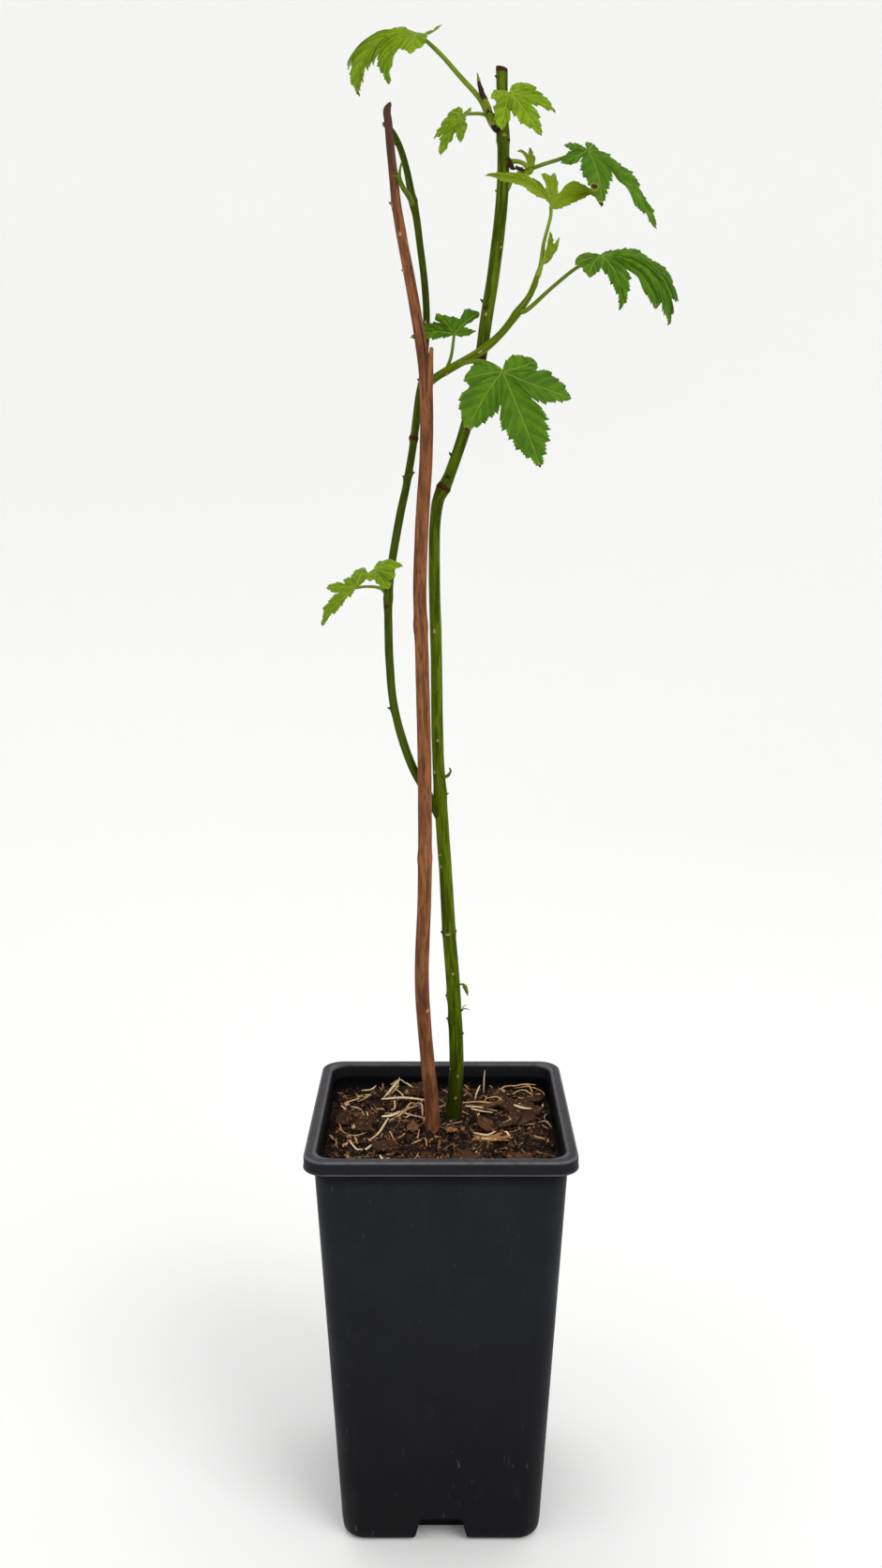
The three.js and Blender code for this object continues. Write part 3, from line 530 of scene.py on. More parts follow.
# The stems' stations, each [x, y, z, radius], as in the model to about a millimetre. The sprouts,
# small buds low on the trunk, are finer here.
TRUNK = [
    [7.5, 13.2, 222, 5.6], [7.6, 13, 230, 5], [8.2, 12, 242, 4.4], [9.1, 10, 265, 4.2],
    [7.4, 7, 307, 4], [4.6, 5, 344, 3.9], [2.4, 4, 383, 3.7], [-0.3, 3, 424, 3.6],
    [-1.8, 2, 451, 3.3], [-2.6, 1, 504, 3.2], [-3.6, 0, 545, 3.1], [-3.3, 0, 576, 3],
    [-1.5, 0, 589, 3.2], [0.6, 0, 594, 3.6], [3.2, 0, 599, 3.1], [9.3, 0, 615, 3],
    [14.1, 0, 630, 3.1], [21, 0, 662, 3.2], [24.1, 0, 683, 3.3], [27.9, 0, 707, 3.3],
    [31.9, 0, 743, 3.2], [32.6, 0, 768, 3.1], [32.3, 0, 776, 3.5], [32, 0, 784, 3],
    [31.5, 0, 808, 3],
]
SHOOT_LOW = [
    [-1, 3, 413, 2.6], [-7.7, 0, 427, 2.6], [-14.4, -3, 439, 2.4], [-21.1, -5, 457, 2.4],
    [-26.3, -4, 478, 2.3], [-28.6, -2, 504, 2.3], [-29.1, -0.6, 528, 2.3],
]
SHOOT_HIGH = [
    [-29.1, -0.6, 527.3, 2.3], [-29.1, 0, 536, 2.5], [-27, 1, 555, 2.2], [-22.3, 2, 581, 2.2],
    [-18.6, 3, 598, 2.1], [-15.5, 4.5, 616, 2.1], [-11.9, 6, 643, 2.2], [-9.9, 6.4, 655, 2],
    [-7.8, 6.8, 683, 1.9], [-8.8, 6.6, 703, 1.9], [-11.2, 5.8, 722, 1.9], [-13.1, 4.4, 736, 2],
    [-15.2, 3, 745, 2.1], [-18.3, 3, 760, 1.8], [-21.9, 3, 771, 1.7], [-25.6, 4, 778, 1.6],
    [-28.2, 5, 780.8, 1.3], [-30.6, 5, 783, 1],
]
DEAD_CANE = [
    [-4.9, -3, 222, 4.6], [-5, -3, 230, 4.3], [-5.2, -3, 240, 4.1], [-7.9, -4, 271, 4],
    [-11, -6, 319, 4], [-9.3, -8, 372, 3.9], [-9.1, -10, 437, 3.8], [-10.5, -10, 505, 3.7],
    [-11.5, -10, 539, 3.6], [-10.3, -10, 575, 3.6], [-7.8, -9, 615, 3.5], [-7.7, -8, 639, 3.5],
    [-8.2, -8, 654, 3.4], [-9.7, -8, 665, 3.2], [-12.6, -8, 681, 2.9], [-16.2, -8, 701, 2.8],
    [-20.8, -8, 725, 2.6], [-23, -8, 738, 2.5], [-24.5, -8, 752, 2.3], [-26, -8, 766, 2.1],
    [-27.2, -8, 779.5, 2], [-27.8, -8, 785, 1.9], [-25.8, -8, 789.2, 0.8],
]
DEAD_STUB = [[-7.6, -8.6, 632, 2.6], [-6.4, -9, 648, 2.2], [-4.9, -9.4, 668, 1.1]]
BRANCH = [
    [-10.8, 6, 648, 2.2], [-6.3, 3, 651, 2.2], [-1.8, 0, 654, 2.1], [3.8, -2.5, 657, 2.1],
    [9.7, -5, 660, 2.1], [21.1, -7.5, 666, 2.3], [31.9, -8, 675, 1.9], [40.7, -8, 686, 2],
    [46.6, -8, 694, 1.6], [50.7, -8, 704.4, 1.4],
]
SPROUTS = [
    [[-0.5, 2, 436, 1.2], [3.6, -1, 437, 0.9], [5.4, -2, 440, 0.6], [4.6, -2, 442, 0.4]],
    [[-0.6, 2, 425, 1.2], [4.6, 0, 427, 0.4]],
    [[8, 5.5, 313, 1.0], [11, 3.4, 313.8, 0.5], [12.8, 2.6, 314, 0.7], [13.8, 2.2, 312.6, 1.3],
     [14.8, 2, 310.2, 1.0], [15.6, 2, 307, 0.2]],
    [[9.5, 7.6, 293, 0.6], [11.4, 6, 296.2, 0.4], [14, 5, 298.6, 0.35], [17, 5, 297.6, 0.15]],
    [[12, 5.6, 297, 0.35], [13.2, 5, 300, 0.25], [15.2, 5, 301, 0.15]],
]

# Marks on the stems, by distance from the foot and angle round the stem, both as in tube().
TRUNK_MARKS = [
    ("scar", 21, 5, 1.3, 1.1, 0.5), ("scar", 35, 12, 1.1, 1.1, 0.5), ("scar", 39, -56, 1.2, 1.0, 0.6),
    ("node", 69, -67, 3, 2.5, 0.6), ("node", 84, -90, 3, 2.5, 0.6), ("scar", 99, 6, 1.3, 1.1, 0.5),
    ("node", 123, None, 2.2, 1, 0.3), ("scar", 123, -8, 1.0, 2.6, 0.5), ("scar", 163, -38, 1.3, 1.1, 0.5),
    ("scar", 170, -39, 1.2, 1.1, 0.5),
    ("node", 205, None, 4, 1, 0.3), ("scar", 218, -42, 1.6, 1.4, 0.8), ("scar", 236, 1, 1.4, 1.1, 0.6),
    ("scar", 297, -13, 2.0, 1.2, 0.6), ("dry", 375, None, 1.6, 1, 0.5), ("dry", 381, -10, 1.4, 1.7, 0.4),
    ("node", 378, None, 3, 1, 0.3), ("dry", 446, 23, 2, 2.4, 0.2), ("scar", 468, -11, 1.6, 1.0, 0.4),
    ("dry", 471.5, -25, 1.1, 2.2, 0.1), ("node", 474, -62, 1.6, 1.4, 0.6), ("scar", 503, 39, 1.3, 1.0, 0.6),
    ("scar", 530, -60, 1.2, 0.9, 0.4), ("dry", 561, -45, 2.2, 2.4, 0.5), ("node", 556, None, 1.4, 1, 0.3),
    ("dry", 555.5, 42, 0.9, 1.5, 0.25), ("scar", 558, 8, 1.4, 1.8, 0.1), ("dry", 574, -60, 4, 1.6, 0.3),
    ("dry", 591, None, 2.3, 1, 0.0),
]
LOW_MARKS = [("node", 68, -90, 1.5, 1.2, 0.4)]
HIGH_MARKS = [
    ("node", 9, None, 3.2, 1, 0.3), ("dry", 4, -30, 1.5, 2, 0.2), ("node", 77, 80, 1.6, 1.3, 0.5),
    ("node", 74, -85, 1.5, 1.2, 0.4), ("dry", 96, None, 1.5, 1, 0.4), ("node", 96, -62, 1.6, 1.4, 0.5),
    ("scar", 157, -14, 1.2, 1.0, 0.4), ("node", 218, None, 3.5, 1, 0.35), ("dry", 219, 60, 1.2, 1.0, 0.4),
]
DEAD_MARKS = [
    ("scar", 519, -73, 2, 1.2, 0.5), ("scar", 429, -90, 1.6, 1.1, 0.5), ("node", 456, 60, 3, 2, 0.3),
    ("dry", 450, 28, 18, 0.6, -0.5), ("dry", 428, 12, 14, 0.6, -0.5), ("scar", 504, -13, 1.2, 0.9, 0.3),
    ("node", 300, None, 4, 1, 0.4), ("scar", 300, 130, 2, 1.6, 0.4), ("node", 170, None, 4, 1, 0.4),
    ("scar", 170, -120, 2, 1.6, 0.4), ("scar", 80, 40, 1.6, 1.2, 0.4), ("scar", 486, -60, 1.3, 1.0, 0.3),
]
BRANCH_MARKS = [
    ("node", 32, 80, 2, 1.8, 0.5), ("scar", 39, 7, 2.0, 1.0, 0.4), ("node", 45, -30, 2, 1.4, 0.4),
    ("scar", 18, 49, 1.5, 1.2, 0.4), ("node", 66, None, 3, 1, 0.3), ("scar", 84, 70, 1.6, 1.2, 0.5),
]
# Thorns and resting buds: distance along the stem, angle round it, length and thickness.
TRUNK_THORNS = [
    (392, -90, 1.6, 0.9), (474, -75, 1.9, 0.9), (503, 42, 1.5, 0.8), (530, -75, 1.0, 0.7),
    (587, -85, 1.0, 0.7), (84, -88, 1.0, 0.9), (39, -60, 1.1, 0.8), (568, -80, 5.0, 1.0),
    (69, -88, 1.3, 0.9), (123, -88, 1.0, 0.9), (123, 88, 0.9, 0.8), (60, 85, 0.8, 0.9),
]
LOW_THORNS = [(68, -85, 1.6, 0.8)]
HIGH_THORNS = [(77, 88, 1.3, 0.8), (74, -88, 1.2, 0.8), (148, -80, 4.5, 0.6), (248, -60, 1.0, 0.6)]
DEAD_THORNS = [(519, -80, 1.6, 0.9), (429, -88, 1.4, 0.8), (486, -80, 0.9, 0.7)]


def thorns(stations, places, seed):
    """The prickles of one stem, at their places."""
    return [prickle(stations, *place, seed=seed + k) for k, place in enumerate(places)]


def stems():
    """The live trunk, its two-part left shoot and side branch, and the old dead cane."""
    trunk_skin = green_rind("green_cane_rind", "#556704", "#54660a", "#262f02", "#7f9326")
    shoot_skin = green_rind("shoot_rind", "#445208", "#424f0b", "#252f04", "#5d6f26")
    branch_skin = green_rind("side_branch_rind", "#5c6e0a", "#66760e", "#45560a", "#8a9830")

    # The cap at the trunk's top is its last faces, and takes the second finish.
    trunk = tube(TRUNK, 36, 1.0, TRUNK_MARKS, (7, 0.09), slant=1.6, seed=1)
    sides = len(trunk["faces"]) - trunk["caps"]
    trunk["picks"] = [0] * sides + [1] * trunk["caps"]
    finished(bare_mesh("trunk_bark", trunk, [trunk_skin, cut_wood()], 60), "green_cane", "trunk")
    spikes = merged(thorns(TRUNK, TRUNK_THORNS, 60))
    finished(bare_mesh("trunk_thorns", spikes, [trunk_skin]), "green_cane")

    low = merged([tube(SHOOT_LOW, 28, 0.9, LOW_MARKS, (6, 0.07), seed=2),
                  *thorns(SHOOT_LOW, LOW_THORNS, 70)])
    finished(bare_mesh("left_shoot_low_bark", low, [shoot_skin]), "green_cane", "left_shoot_low")
    high = merged([tube(SHOOT_HIGH, 28, 0.9, HIGH_MARKS, (6, 0.06), blunt=1.0, seed=3),
                   *thorns(SHOOT_HIGH, HIGH_THORNS, 73)])
    finished(bare_mesh("left_shoot_high_bark", high, [shoot_skin]), "green_cane", "left_shoot_high")

    cane = merged([tube(DEAD_CANE, 34, 1.0, DEAD_MARKS, (9, 0.12), blunt=0.8, seed=4),
                   tube(DEAD_STUB, 20, 0.9, (), (6, 0.1), blunt=1.2, seed=5),
                   *thorns(DEAD_CANE, DEAD_THORNS, 80)])
    finished(bare_mesh("dead_cane_bark", cane, [dry_rind()], 60), "dry_cane", "dead_cane")

    branch = tube(BRANCH, 28, 0.9, BRANCH_MARKS, (5, 0.08), seed=6)
    finished(bare_mesh("side_branch_bark", branch, [branch_skin]), "green_cane", "side_branch")

    foot = [("dry", 0.5, None, 1.0, 1, 0.2)]
    buds = merged([tube(sprout, 14, 0.5, foot, (5, 0.06), 0.6, seed=7 + k)
                   for k, sprout in enumerate(SPROUTS)])
    finished(bare_mesh("trunk_buds", buds, [branch_skin]), "green_cane")


# Leaves. The rule and the sizes are the model's; the margins, ribs and folds are finer.
# aim is [yaw, pitch, roll]; a lobe is [heading, length ratio, half width left, half width
# right, droop, sweep]; a notch is [distance ratio, heading]; scorch is [distance ratio,
# heading, radius in millimetres]; fold is how steeply the blade rises away from its ribs.
LEAF = {
    "top": {
        "base": [-13.5, 22, 832], "aim": [193, 5, -30], "length": 51,
        "lobes": [[-150, 0.32, 0.06, 0.15, -60, 0], [-80, 0.4, 0.28, 0.24, 36, 4],
                  [-35, 0.69, 0.2, 0.18, 140, 0], [2, 1.01, 0.08, 0.2, 106, 10],
                  [36, 1.01, 0.14, 0.12, 63, 3]],
        "notches": [[0.15, -115], [0.3, -45], [0.4, -16], [0.55, 19]],
        "scorch": [[1.01, 2, 3.0], [1.01, 36, 2.5]],
    },
    "small": {
        "base": [11, -6, 783.5], "aim": [196, -55, -29], "length": 25.5,
        "lobes": [[-99, 0.44, 0.25, 0.25, -45, 8], [-36, 0.77, 0.26, 0.1, 1, -1],
                  [-2, 0.95, 0.1, 0.19, 5, -4], [37, 0.76, 0.12, 0.22, 12, 4],
                  [100, 0.45, 0.25, 0.25, -1, -1]],
        "notches": [[0.25, -66], [0.38, -18], [0.34, 20], [0.38, 80]],
    },
    "front": {
        "base": [35, -16, 791], "aim": [-44, -42, 34], "length": 31,
        "lobes": [[-96, 0.49, 0.28, 0.2, 4, 15], [-49, 0.82, 0.2, 0.15, 31, 4],
                  [1, 0.99, 0.15, 0.2, 17, 0], [47, 0.78, 0.16, 0.3, 22, -3],
                  [97, 0.43, 0.2, 0.3, -33, -15]],
        "notches": [[0.36, -78], [0.3, -27], [0.22, 34], [0.36, 74]],
        "scorch": [[0.82, -49, 2.4], [0.99, 1, 1.8], [0.49, -96, 1.8]],
    },
    "upper": {
        "base": [78, 14, 771.5], "aim": [1, -28, 49], "length": 53,
        "lobes": [[-81, 0.2, 0.3, 0.3, 21, -5], [0, 1.05, 0.1, 0.13, 33, 7],
                  [44, 0.71, 0.1, 0.23, 9, 14], [111, 0.4, 0.2, 0.18, 11, 7],
                  [157, 0.32, 0.12, 0.14, -25, -23]],
        "notches": [[0.12, -40], [0.31, 10], [0.11, 94], [0.22, 134]],
        "scorch": [[1.05, 0, 3.0], [0.5, 54, 2.8], [0.71, 44, 4.0]],
    },
    "right": {
        "base": [81.5, -26, 710.5], "aim": [-5, 2, 38], "length": 50,
        "lobes": [[-19, 1.12, 0.08, 0.14, 50, 14], [0, 1.2, 0.12, 0.12, 107, 2],
                  [16, 0.87, 0.15, 0.12, 81, -1], [52, 0.69, 0.14, 0.1, 128, 2],
                  [128, 0.34, 0.24, 0.3, 28, -16], [168, 0.32, 0.3, 0.3, -6, -23]],
        "notches": [[0.87, -4], [0.56, 13], [0.22, 24], [0.18, 99], [0.2, 148]],
        "scorch": [[1.2, 0, 2.5], [0.87, 16, 2.5]],
    },
    "young": {
        "base": [57.5, -8, 737.5], "aim": [37, 93, 130], "length": 45, "fold": 0.3,
        "lobes": [[-68, 1.1, 0.09, 0.07, 75, -3], [-16, 0.39, 0.14, 0.14, 46, 0],
                  [12, 0.43, 0.16, 0.13, -28, 9], [54, 0.82, 0.24, 0.13, -77, 13]],
        "notches": [[0.29, -57], [0.32, -7], [0.15, 33]],
    },
    "broad": {
        "base": [32, -24, 653.5], "aim": [-54, -54, 19], "length": 56,
        "lobes": [[-94, 0.41, 0.3, 0.22, 14, -8], [-48, 0.7, 0.26, 0.2, 13, -10],
                  [1, 1, 0.18, 0.2, 22, -3], [53, 0.73, 0.2, 0.28, 23, -5],
                  [97, 0.4, 0.2, 0.3, 2, -9]],
        "notches": [[0.24, -77], [0.3, -21], [0.31, 26], [0.34, 81]],
        "scorch": [[1.0, 1, 2.6], [0.7, -48, 1.6], [0.73, 53, 3.4]],
    },
    "low": {
        "base": [7, 3, 676], "aim": [-15, 85, 103], "length": 23.5,
        "lobes": [[-77, 1.03, 0.14, 0.14, -19, -24], [-35, 0.62, 0.26, 0.2, -37, -12],
                  [36, 0.79, 0.3, 0.2, 34, 8], [80, 0.62, 0.1, 0.12, -75, 0]],
        "notches": [[0.4, -49], [0.35, 14], [0.26, 46]],
    },
    "long": {
        "base": [-47.5, 12, 541.5], "aim": [163, 4, -54], "length": 34,
        "lobes": [[-48, 0.98, 0.08, 0.13, 65, 8], [1, 0.72, 0.13, 0.18, 43, 12],
                  [44, 0.4, 0.2, 0.15, 36, -10], [93, 0.5, 0.28, 0.25, 26, -6]],
        "notches": [[0.26, -26], [0.15, 17], [0.15, 59]],
        "scorch": [[0.98, -48, 3.6]],
    },
    "wide": {
        "base": [-36.5, -10, 551.5], "aim": [-63, -23, 41], "length": 20,
        "lobes": [[-77, 0.84, 0.36, 0.26, 52, 3], [-32, 0.76, 0.2, 0.2, 18, 10],
                  [0, 0.86, 0.36, 0.36, 31, 1], [53, 0.48, 0.25, 0.3, -11, -17]],
        "notches": [[0.55, -42], [0.65, -15], [0.41, 31]],
    },
    "bract": {
        "base": [52.7, -7, 709.5], "aim": [9, 56, 144], "length": 19.5, "fold": 0.3,
        "lobes": [[-16, 0.9, 0.09, 0.09, 0, -28], [12, 0.88, 0.1, 0.11, 0, -5]],
        "notches": [[0.55, -2]],
    },
    "claw": {
        "base": [45, -4, 758.5], "aim": [32, 70, 125], "length": 12, "fold": 0.3,
        "lobes": [[-29, 0.97, 0.14, 0.12, 102, 17], [9, 0.98, 0.16, 0.14, 24, -4],
                  [39, 0.85, 0.2, 0.2, -5, -18]],
        "notches": [[0.3, -10], [0.4, 24]],
        "scorch": [[0.97, -29, 1.5]],
    },
}
# Over how many degrees a lobe's droop and sweep blend into the next one's.
SOFT = 28
# Where a half lobe is widest, and how far it may spread where no notch bounds it, in degrees.
PEAK = 0.45
FREE_SIDE = 62
# The usual fold along the ribs, and the fold above which a blade is still pleated.
FOLD = 0.12
PLEATED = 0.2
# A tooth's depth as a share of its lobe, its width in millimetres and as a share of its lobe, the
# fewest and the most on one side, and how deep a pleated blade's teeth are beside the others'.
TOOTH = 0.046
TOOTH_WIDTH = 3.4
TOOTH_SHARE = 0.085
TEETH = (3, 8)
PLEATED_TEETH = 0.45
# The blade's thickness in millimetres, and how much thicker it is where it meets its stalk.
BLADE = 0.36
BLADE_FOOT = 1.3
# Along one tooth, the steps and how far the margin stands out at each; across a half lobe, its rows.
ROW_STEPS = (0, 0.2, 0.27, 0.44, 0.52, 0.66, 0.8, 0.88)
ROW_TEETH = (-0.2, 0.5, 0.05, 0.85, 0.35, 0.8, 1.25, 0.5)
ACROSS = (0, 0.06, 0.15, 0.28, 0.43, 0.6, 0.77, 0.9, 1)
# How fast a notch's width fades along its lobe, and how the side ribs crowd towards its foot.
FADE = 1.8
CROWD = 1.3
# How high the blade rises between side ribs, as a share of their spacing; how high a young half's
# pleats are and how many it has; how deep the midrib lies and half how wide, in millimetres; and
# how far the margin ripples, as a share of its lobe.
PLEAT = 0.15
YOUNG_PLEAT = 0.5
FAN = 3.5
GROOVE = 0.3
GROOVE_WIDTH = 0.6
RIPPLE = 0.018
# The blade undulates and puckers over these lengths and by these heights, in millimetres.
UNDULATION = (9, 0.5)
PUCKER = (1.7, 0.06)


def leaf_frame(leaf):
    """A leaf's forward, right and normal."""
    yaw, pitch, roll = (math.radians(a) for a in leaf["aim"])
    forward = np.array([math.cos(pitch) * math.cos(yaw), math.cos(pitch) * math.sin(yaw), math.sin(pitch)])
    level = np.array([math.sin(yaw), -math.cos(yaw), 0])
    up = np.cross(level, forward)
    normal = up * math.cos(roll) + level * math.sin(roll)
    right = level * math.cos(roll) - up * math.sin(roll)
    return forward, right, normal


def on_blade(leaf, distance, heading):
    """Points of the blade at distances and headings from its base."""
    forward, right, normal = leaf_frame(leaf)
    heads, ratios, _, _, droops, sweeps = np.array(leaf["lobes"], float).T
    lengths = leaf["length"] * ratios
    weight = np.exp(-((heading[:, None] - heads) / SOFT) ** 2) + 1e-12
    weight /= weight.sum(1)[:, None]
    bend, swing = weight @ (np.radians(droops) / lengths), weight @ (sweeps / lengths)
    angle = np.radians(heading + swing * distance)
    out = np.cos(angle)[:, None] * forward + np.sin(angle)[:, None] * right
    bend = np.where(np.abs(bend) < 1e-7, 1e-7, bend)
    turn = bend * distance
    reach, drop = np.sin(turn) / bend, (1 - np.cos(turn)) / bend
    off = np.minimum(np.abs(heading[:, None] - heads).min(1), 60)
    lift = leaf.get("fold", FOLD) * distance * np.sin(np.radians(off))
    face = np.cos(turn)[:, None] * normal + np.sin(turn)[:, None] * out
    return np.array(leaf["base"]) + out * reach[:, None] - normal * drop[:, None] + face * lift[:, None]


def tooth(q, teeth):
    """How far the margin stands out at a share of its length: a main tooth with two lesser ones behind."""
    step = min(int(q * teeth), teeth - 1)
    if step == teeth - 1 and q * teeth - step > 0.7:
        return 0.0
    return float(np.interp(q * teeth - step, (*ROW_STEPS, 1), (*ROW_TEETH, ROW_TEETH[0])))


def leaf_blade(leaf, seed):
    """One closed blade with toothed margins, sunken ribs and raised folds between the side ribs."""
    keys, flat, facts, faces = {}, [], [], []
    pleated = leaf.get("fold", FOLD) > PLEATED

    def at(distance, heading, across, order, spacing, rise):
        """The number of the point there, which is new or shared with a neighbouring face."""
        key = (round(distance, 2), round(heading, 1) if distance > 0.01 else 0)
        if key not in keys:
            keys[key] = len(flat)
            flat.append((distance, heading))
            facts.append((across, order, spacing, rise))
        return keys[key]

    for index, (head, ratio, left, right, *_) in enumerate(leaf["lobes"]):
        length = ratio * leaf["length"]
        teeth = int(np.clip(round(length / (TOOTH_WIDTH + TOOTH_SHARE * length)), *TEETH))
        shares = [(k + s) / teeth for k in range(teeth) for s in ROW_STEPS] + [1.0]
        for side, half, neighbour in ((-1, left, index - 1), (1, right, index)):
            notched = 0 <= neighbour < len(leaf["notches"])
            apart, along, beside = math.radians(FREE_SIDE), 0.0, 0.0
            if notched:
                far, at_heading = leaf["notches"][neighbour]
                far *= leaf["length"]
                apart = math.radians(abs(at_heading - head))
                along, beside = far * math.cos(apart), far * math.sin(apart)
            # In each half lobe, t runs along its rib and x away from it.
            rows = []
            for q in shares:
                bulge = (q / PEAK) ** 0.9 * ((1 - q) / (1 - PEAK)) ** (0.9 * (1 - PEAK) / PEAK)
                wide = beside * (1 - q) ** FADE + (half * length - beside * (1 - PEAK) ** FADE) * bulge
                deep = (PLEATED_TEETH if pleated else 1) * TOOTH * length * (1 - 0.5 * q) * tooth(q, teeth)
                if notched and q * teeth < 1:
                    deep *= q * teeth
                edge_t = along + (length - along) * q + (0.4 * deep if q < 1 else 0)
                edge_x = min(max(wide + deep, 0.0), edge_t * math.tan(apart))
                rib_t = length * q ** CROWD
                ease = min(1, 6 * q) * min(1, 6 * (1 - q))
                order, spacing = teeth * q - 0.8, length / teeth
                row = []
                for b in ACROSS:
                    t = rib_t + (edge_t - rib_t) * b ** (1 + 0.15 * min(1, 8 * q))
                    x = edge_x * b
                    if pleated:
                        order, spacing = FAN * b, half * length / FAN
                    swell = YOUNG_PLEAT if pleated else PLEAT * spacing * math.sin(math.pi * b ** 0.8)
                    pleat = swell * (1 - math.cos(2 * math.pi * order)) / 2
                    ripple = RIPPLE * length * b * b * math.sin(5 * math.pi * q + 2.1 * index + side + seed)
                    groove = GROOVE * math.exp(-(x / GROOVE_WIDTH) ** 2) * min(1, 8 * q)
                    rise = ease * (pleat + ripple) - groove
                    swing = side * math.degrees(math.atan2(x, t)) if t or x else 0
                    row.append(at(math.hypot(t, x), head + swing, x, order, spacing, rise))
                rows.append(row)
            for low, high in zip(rows, rows[1:]):
                for j in range(len(ACROSS) - 1):
                    face = [low[j], low[j + 1], high[j + 1], high[j]]
                    face = [k for n, k in enumerate(face) if k != face[n - 1]]
                    if len(set(face)) >= 3:
                        faces.append(face if side < 0 else face[::-1])

    distance, heading = np.array(flat).T
    centre = on_blade(leaf, distance, heading)
    along = on_blade(leaf, distance + 0.2, heading) - on_blade(leaf, distance - 0.2, heading)
    over = on_blade(leaf, distance, heading + 1.5) - on_blade(leaf, distance, heading - 1.5)
    normal = np.cross(over, along)
    normal[distance < 0.01] = leaf_frame(leaf)[2]
    normal /= np.linalg.norm(normal, axis=1)[:, None]
    facts = np.array(facts)
    # The undulation and the puckers fade out towards the blade's base.
    slow = np.array([noise.noise(Vector(p / UNDULATION[0]) + Vector((seed, 0, 0))) for p in centre])
    fine = np.array([noise.noise(Vector(p / PUCKER[0])) for p in centre])
    lift = np.minimum(1, distance / 4) * (UNDULATION[1] * slow + PUCKER[1] * fine)
    sheet = centre + normal * (facts[:, 3] + lift)[:, None]
    # The upper side, the underside and the edge between them make one closed shell.
    count = len(sheet)
    used = dict.fromkeys((a, b) for face in faces for a, b in zip(face, face[1:] + face[:1]))
    rim = [(a, b) for a, b in used if (b, a) not in used]
    shell = faces + [[k + count for k in face[::-1]] for face in faces]
    shell += [[b, a, a + count, b + count] for a, b in rim]
    thick = BLADE * np.where(distance < 2, BLADE_FOOT, 1.0)[:, None]
    scorch = np.zeros(count)
    angle = np.radians(heading)
    for ratio, where, radius in leaf.get("scorch", ()):
        far = ratio * leaf["length"]
        x, y = far * math.cos(math.radians(where)), far * math.sin(math.radians(where))
        gap = np.hypot(distance * np.cos(angle) - x, distance * np.sin(angle) - y)
        scorch = np.maximum(scorch, np.clip(1.15 - gap / radius, 0, 1))
    return {
        "points": np.vstack([sheet + normal * thick / 2, sheet - normal * thick / 2]),
        "faces": shell,
        "marks": {"vein": np.vstack([facts[:, :3]] * 2), "scorch": np.tile(scorch, 2),
                  "under": np.repeat([0.0, 1.0], count)},
    }


def stalk(stations, leaf, seed):
    """A leaf stalk from its stem to just under the blade's base."""
    forward, _, normal = leaf_frame(leaf)
    base = np.array(leaf["base"])
    tip = stations[-1][3]
    ends = [[*(base - 0.3 * normal), tip], [*(base + 2 * forward - 0.5 * normal), 0.45]]
    return tube([*stations, *ends], 14, 0.8, [("node", 1.5, None, 2.5, 1, 0.25)], (3, 0.05), 0.5, seed=seed)


def scaled_bud(stations, fresh, green, step, seed):
    """A bud whose scales overlap every few millimetres, green near the given distances along it."""
    sides = 16
    tips = [("scar", at, None, 3.5, 1, 0.0) for at in green]
    shape = tube(stations, sides, 0.35, tips, (3, 0.05), 0.3, seed=seed)
    points, rind = shape["points"][:-2], shape["marks"]["rind"]
    centre = np.repeat(points.reshape(-1, sides, 3).mean(1), sides, axis=0)
    around = np.arctan2(rind[:-2, 1], rind[:-2, 0])
    # Two scales fill each turn round the bud, and each flares to its free edge.
    turn = ((rind[:-2, 2] - rind[0, 2]) / step + around / (2 * math.pi) * 2 + 0.3 * np.sin(3 * around)) % 1
    grown = 1 + 0.22 * (1 - turn) ** 0.8 * np.clip(turn * 8, 0, 1)
    shape["points"][:-2] = centre + (points - centre) * grown[:, None]
    shape["marks"]["scar"] = np.maximum(shape["marks"]["scar"], fresh)
    return shape


